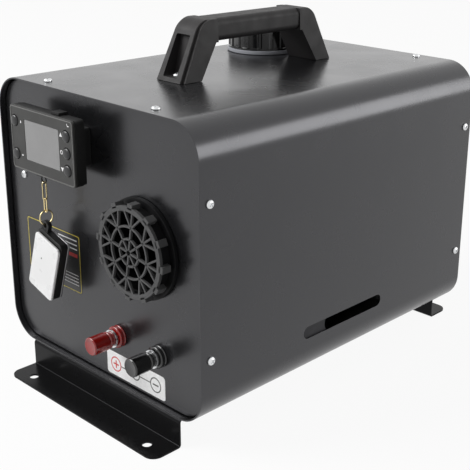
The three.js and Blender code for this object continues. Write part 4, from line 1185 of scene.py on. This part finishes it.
def build_polarity_label():
    y, middle = panel_face(), (PLUS_X + MINUS_X) / 2
    plate = label_plate(POLARITY_SIZE, (middle, y - PLATE_THICK / 2, POLARITY_Z))
    piece("polarity_label", plate, "label_white")
    face = y - PLATE_THICK
    piece("polarity_plus", join(*sign(PLUS_X, face, True)), "label_red")
    dark = sign(MINUS_X, face, False)
    dark.append(printed_ring(SOCKET_RADIUS, middle, face))
    dark.append(rod(SOCKET_DOT, 0, INK, OUT_OF_PANEL, (middle, face, POLARITY_Z), 24))
    for x0, x1 in ((PLUS_X + SIGN_RADIUS, middle - SOCKET_RADIUS),
                   (middle + SOCKET_RADIUS, MINUS_X - SIGN_RADIUS)):
        line_middle = ((x0 + x1) / 2, face - INK / 2, POLARITY_Z)
        dark.append(block((x1 - x0, INK, LINK_LINE), line_middle))
    piece("polarity_marks", join(*dark), "label_grey")


# ---------------------------------------------------------------- back
GUARD_RIM, GUARD_BAR, GUARD_RINGS = 0.008, 0.0028, (0.014, 0.033)
PIPE_BEND, PIPE_WALL, PIPE_SIDES, BEND_STEPS = 0.026, 0.0015, 32, 12


def build_guard():
    front, thick = front_of("rear_intake_grille")
    outer, half = box_of("rear_intake_grille")[1].x / 2, GUARD_BAR / 2
    parts = [ring(outer - GUARD_RIM, outer, 0, thick, TOWARDS_BACK, front, MANY_STEPS)]
    parts += [ring(r - half, r + half, 0, thick, TOWARDS_BACK, front) for r in GUARD_RINGS]
    for i in range(3):
        bar = block((2 * outer - GUARD_RIM, thick * 0.9, GUARD_BAR), (0, thick / 2, 0))
        move(bar, Matrix.Translation(front) @ Matrix.Rotation(i * pi / 3, 4, "Y"))
        parts.append(bar)
    piece("intake_guard", join(*parts), "black_plastic",
          stands_for=("rear_intake_grille",), soft=0.0005)


def pipe_route(node):
    """Points down a pipe, round its bend and out to the back."""
    low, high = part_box(node)
    x = (low.x + high.x) / 2
    y, z = low.y + PIPE_RADIUS, low.z + PIPE_RADIUS
    points = [(x, y, high.z), (x, y, z + PIPE_BEND)]
    for i in range(1, BEND_STEPS + 1):
        angle = i / BEND_STEPS * pi / 2
        points.append((x, y + PIPE_BEND * (1 - cos(angle)), z + PIPE_BEND * (1 - sin(angle))))
    return points + [(x, high.y, z)]


def build_pipe(node):
    points = pipe_route(node)
    bm = bmesh.new()
    bmesh.ops.create_circle(
        bm, segments=PIPE_SIDES, radius=PIPE_RADIUS, matrix=Matrix.Translation(points[0])
    )
    edges = list(bm.edges)
    for before, spot, after in zip(points, points[1:], points[2:] + [points[-1]]):
        made = bmesh.ops.extrude_edge_only(bm, edges=edges)["geom"]
        verts = verts_of(made)
        edges = [e for e in made if isinstance(e, bmesh.types.BMEdge)
                 and all(v in verts for v in e.verts)]
        heading = (Vector(after) - Vector(before)).normalized()
        middle = sum((v.co for v in verts), Vector()) / len(verts)
        quarter = verts[PIPE_SIDES // 4].co - middle
        present = (verts[0].co - middle).cross(quarter).normalized()
        if present.dot(heading) < 0:
            present.negate()
        turn = turn_between(present, heading)
        place = Matrix.Translation(spot) @ turn @ Matrix.Translation(-middle)
        bmesh.ops.transform(bm, matrix=place, verts=verts)
    bmesh.ops.recalc_face_normals(bm, faces=bm.faces)
    piece(node + "_tube", bm, SLOT_OF[node], stands_for=(node,), wall=PIPE_WALL, soft=0.0003)


# ---------------------------------------------------------------- inside
def dress_nodes():
    """Gives each CAD node its slot's finish."""
    for name, obj in frame["nodes"].items():
        obj.data.materials.clear()
        obj.data.materials.append(finish_named(SLOT_OF[name]))


# ---------------------------------------------------------------- stage
FLOOR_SIZE, FLOOR_GREY, FLOOR_GLOW = 9, (0.9, 0.9, 0.9), 0.93
WORLD_LIGHT = 0.3
WHITE = (1, 1, 1, 1)
# The camera of the photo: focal length in mm, shift, place and how its picture lies.
LENS, SHIFT = 75.407, (-0.08825, -0.04702)
CAMERA_PLACE = (0.70183, -0.70222, 0.494)
CAMERA_RIGHT = Vector((0.726889, 0.686601, 0.014515))
CAMERA_DOWN = Vector((0.235041, -0.228861, -0.944658))


def floor_finish():
    finish, shader = start_finish("studio_floor", FLOOR_GREY, 0.9)
    tree = finish.node_tree
    shader.inputs["Specular IOR Level"].default_value = 0.0
    vary_colour(tree, shader, FLOOR_GREY, size=0.8, tone=0.005)
    glow = add_node(tree, "ShaderNodeEmission", {"Color": WHITE, "Strength": 1.0})
    share = add_node(tree, "ShaderNodeMath", operation="MULTIPLY")
    share.inputs[1].default_value = FLOOR_GLOW
    mix = add_node(tree, "ShaderNodeMixShader")
    link(tree, (view_rays(tree), share.inputs[0]), (share.outputs[0], mix.inputs["Fac"]),
         (shader.outputs["BSDF"], mix.inputs[1]), (glow.outputs["Emission"], mix.inputs[2]),
         (mix.outputs["Shader"], tree.nodes["Material Output"].inputs["Surface"]))
    return finish


def view_rays(tree):
    """1 for the camera's rays and those mirrored or passed on to it, else 0."""
    path = add_node(tree, "ShaderNodeLightPath")
    first = add_node(tree, "ShaderNodeMath", operation="MAXIMUM")
    both = add_node(tree, "ShaderNodeMath", operation="MAXIMUM")
    link(tree, (path.outputs["Is Camera Ray"], first.inputs[0]),
         (path.outputs["Is Glossy Ray"], first.inputs[1]), (first.outputs[0], both.inputs[0]),
         (path.outputs["Is Transmission Ray"], both.inputs[1]))
    return both.outputs[0]


def build_floor():
    bm = bmesh.new()
    bmesh.ops.create_grid(bm, x_segments=1, y_segments=1, size=FLOOR_SIZE)
    floor = loose_object("studio_floor", bm)
    floor.data.materials.append(floor_finish())


def build_world():
    world = bpy.data.worlds.new("studio")
    world.use_nodes = True
    tree = world.node_tree
    light = tree.nodes["Background"]
    light.inputs["Color"].default_value = WHITE
    light.inputs["Strength"].default_value = WORLD_LIGHT
    seen = add_node(tree, "ShaderNodeBackground", {"Color": WHITE, "Strength": 1.0})
    mix = add_node(tree, "ShaderNodeMixShader")
    link(tree, (view_rays(tree), mix.inputs["Fac"]), (light.outputs["Background"], mix.inputs[1]),
         (seen.outputs["Background"], mix.inputs[2]),
         (mix.outputs["Shader"], tree.nodes["World Output"].inputs["Surface"]))
    bpy.context.scene.world = world


def soft_box(name, place, target, size, power, only_mirrored=False):
    """A rectangular studio lamp; a mirrored one shows in gloss and lights nothing else."""
    lamp = bpy.data.lights.new(name, "AREA")
    lamp.shape = "RECTANGLE"
    lamp.size, lamp.size_y = size
    lamp.energy = power
    holder = bpy.data.objects.new(name, lamp)
    bpy.context.scene.collection.objects.link(holder)
    heading = Vector(target) - Vector(place)
    holder.location = place
    holder.rotation_euler = heading.to_track_quat("-Z", "Y").to_euler()
    holder.visible_diffuse = not only_mirrored


def build_lights():
    soft_box("key_light", place=(-1.6, -2.0, 2.2), target=(0, 0, 0.15), size=(1.8, 1.8),
             power=90)
    soft_box("edge_light", place=(2.5, 2.4, 1.0), target=(0, 0, 0.3), size=(2.2, 1.7),
             power=48, only_mirrored=True)
    soft_box("top_light", place=(-2.4, 2.7, 1.5), target=(0, 0, 0.3), size=(3.2, 1.6),
             power=5, only_mirrored=True)


def build_camera():
    camera = bpy.data.cameras.new("camera")
    camera.sensor_width = 36
    camera.lens = LENS
    camera.shift_x, camera.shift_y = SHIFT
    holder = bpy.data.objects.new("camera", camera)
    bpy.context.scene.collection.objects.link(holder)
    away = CAMERA_RIGHT.cross(-CAMERA_DOWN)
    turn = Matrix((CAMERA_RIGHT, -CAMERA_DOWN, away)).transposed().to_4x4()
    holder.matrix_world = Matrix.Translation(CAMERA_PLACE) @ turn
    bpy.context.scene.camera = holder


# ---------------------------------------------------------------- operators
class HEATER_OT_stage(bpy.types.Operator):
    """Makes the floor, the studio light and the camera"""

    bl_idname = "heater.stage"
    bl_label = "Stage and Camera"

    def execute(self, context):
        build_floor()
        build_world()
        build_lights()
        build_camera()
        context.scene.view_settings.view_transform = "Standard"
        return {"FINISHED"}


class HEATER_OT_finishes(bpy.types.Operator):
    """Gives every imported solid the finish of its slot"""

    bl_idname = "heater.finishes"
    bl_label = "Finishes"

    def execute(self, context):
        dress_nodes()
        return {"FINISHED"}


class HEATER_OT_case(bpy.types.Operator):
    """Builds the wrap-round case and its two folded panels"""

    bl_idname = "heater.case"
    bl_label = "Case and Panels"

    def execute(self, context):
        sizes = context.scene.heater_sizes
        build_case(sizes)
        slot_shield()
        build_panel(sizes, "front_panel", -1, front_holes())
        build_panel(sizes, "rear_panel", 1, rear_holes())
        return {"FINISHED"}


class HEATER_OT_feet(bpy.types.Operator):
    """Builds the two folded feet"""

    bl_idname = "heater.feet"
    bl_label = "Feet"

    def execute(self, context):
        sizes = context.scene.heater_sizes
        build_foot(sizes, "front_foot", -1)
        build_foot(sizes, "rear_foot", 1)
        return {"FINISHED"}


class HEATER_OT_handle(bpy.types.Operator):
    """Builds the handle's two legs and its grip"""

    bl_idname = "heater.handle"
    bl_label = "Handle"

    def execute(self, context):
        sizes = context.scene.heater_sizes
        build_leg(sizes, "handle_front_leg", False)
        build_leg(sizes, "handle_rear_leg", True)
        build_grip()
        return {"FINISHED"}


class HEATER_OT_screws(bpy.types.Operator):
    """Builds the cross-recess screws of the case, handle and panel"""

    bl_idname = "heater.screws"
    bl_label = "Screws"

    def execute(self, context):
        for node in sorted(n for n in frame["nodes"] if n.endswith("_screw")):
            direction, base = screw_seat(node)
            build_screw(node + "_head", direction, base, (node,))
        base = Vector((PANEL_SCREW_X, panel_face(), PANEL_SCREW_Z))
        build_screw("panel_screw_head", OUT_OF_PANEL, base)
        return {"FINISHED"}


class HEATER_OT_cap(bpy.types.Operator):
    """Builds the ribbed fuel cap, its seal and the ring under it"""

    bl_idname = "heater.cap"
    bl_label = "Fuel Cap"

    def execute(self, context):
        build_cap(context.scene.heater_sizes)
        build_filler_ring()
        return {"FINISHED"}


class HEATER_OT_outlet(bpy.types.Operator):
    """Builds the warm-air collar and its twist-off grille"""

    bl_idname = "heater.outlet"
    bl_label = "Warm-Air Outlet"

    def execute(self, context):
        build_collar()
        build_grille(context.scene.heater_sizes)
        return {"FINISHED"}


class HEATER_OT_controller(bpy.types.Operator):
    """Builds the controller's face, display, keys, marks and housing"""

    bl_idname = "heater.controller"
    bl_label = "Controller"

    def execute(self, context):
        sizes = context.scene.heater_sizes
        build_bezel(sizes)
        build_screen()
        build_housing()
        build_key_marks()
        for node in key_spots():
            build_key(sizes, node, node.replace("button", "key"))
        return {"FINISHED"}


class HEATER_OT_posts(bpy.types.Operator):
    """Builds the red and black binding posts"""

    bl_idname = "heater.posts"
    bl_label = "Binding Posts"

    def execute(self, context):
        build_post("red", "red_plastic")
        build_post("black", "gloss_black")
        return {"FINISHED"}


class HEATER_OT_remote(bpy.types.Operator):
    """Builds the hanging remote with its chain and key ring"""

    bl_idname = "heater.remote"
    bl_label = "Remote and Chain"

    def execute(self, context):
        build_chain()
        build_remote()
        return {"FINISHED"}


class HEATER_OT_labels(bpy.types.Operator):
    """Builds the blank data label and the polarity label"""

    bl_idname = "heater.labels"
    bl_label = "Labels"

    def execute(self, context):
        build_data_label()
        build_polarity_label()
        return {"FINISHED"}


class HEATER_OT_back(bpy.types.Operator):
    """Builds the intake guard and the two pipes at the back"""

    bl_idname = "heater.back"
    bl_label = "Intake and Pipes"

    def execute(self, context):
        build_guard()
        build_pipe("exhaust_pipe")
        build_pipe("combustion_air_pipe")
        return {"FINISHED"}


OPERATORS = (
    HEATER_OT_stage, HEATER_OT_finishes, HEATER_OT_case, HEATER_OT_feet, HEATER_OT_handle,
    HEATER_OT_screws, HEATER_OT_cap, HEATER_OT_outlet, HEATER_OT_controller, HEATER_OT_posts,
    HEATER_OT_remote, HEATER_OT_labels, HEATER_OT_back,
)


class HEATER_PT_sidebar(bpy.types.Panel):
    """Lists the heater's pieces, sizes and colours"""

    bl_idname = "HEATER_PT_sidebar"
    bl_label = "Diesel Air Heater"
    bl_space_type = "VIEW_3D"
    bl_region_type = "UI"
    bl_category = "Heater"

    def draw(self, context):
        column = self.layout.column(align=True)
        for operator in OPERATORS:
            column.operator(operator.bl_idname)
        for group in (context.scene.heater_sizes, context.scene.heater_colours):
            box = self.layout.box()
            for name in group.__annotations__:
                box.prop(group, name)


CLASSES = (HeaterSizes, HeaterColours, *OPERATORS, HEATER_PT_sidebar)


def register():
    for cls in CLASSES:
        bpy.utils.register_class(cls)
    bpy.types.Scene.heater_sizes = bpy.props.PointerProperty(type=HeaterSizes)
    bpy.types.Scene.heater_colours = bpy.props.PointerProperty(type=HeaterColours)


def unregister():
    del bpy.types.Scene.heater_colours
    del bpy.types.Scene.heater_sizes
    for cls in reversed(CLASSES):
        bpy.utils.unregister_class(cls)


def main():
    register()
    for operator in OPERATORS:
        getattr(bpy.ops.heater, operator.bl_idname.split(".")[1])()


if __name__ == "__main__":
    main()
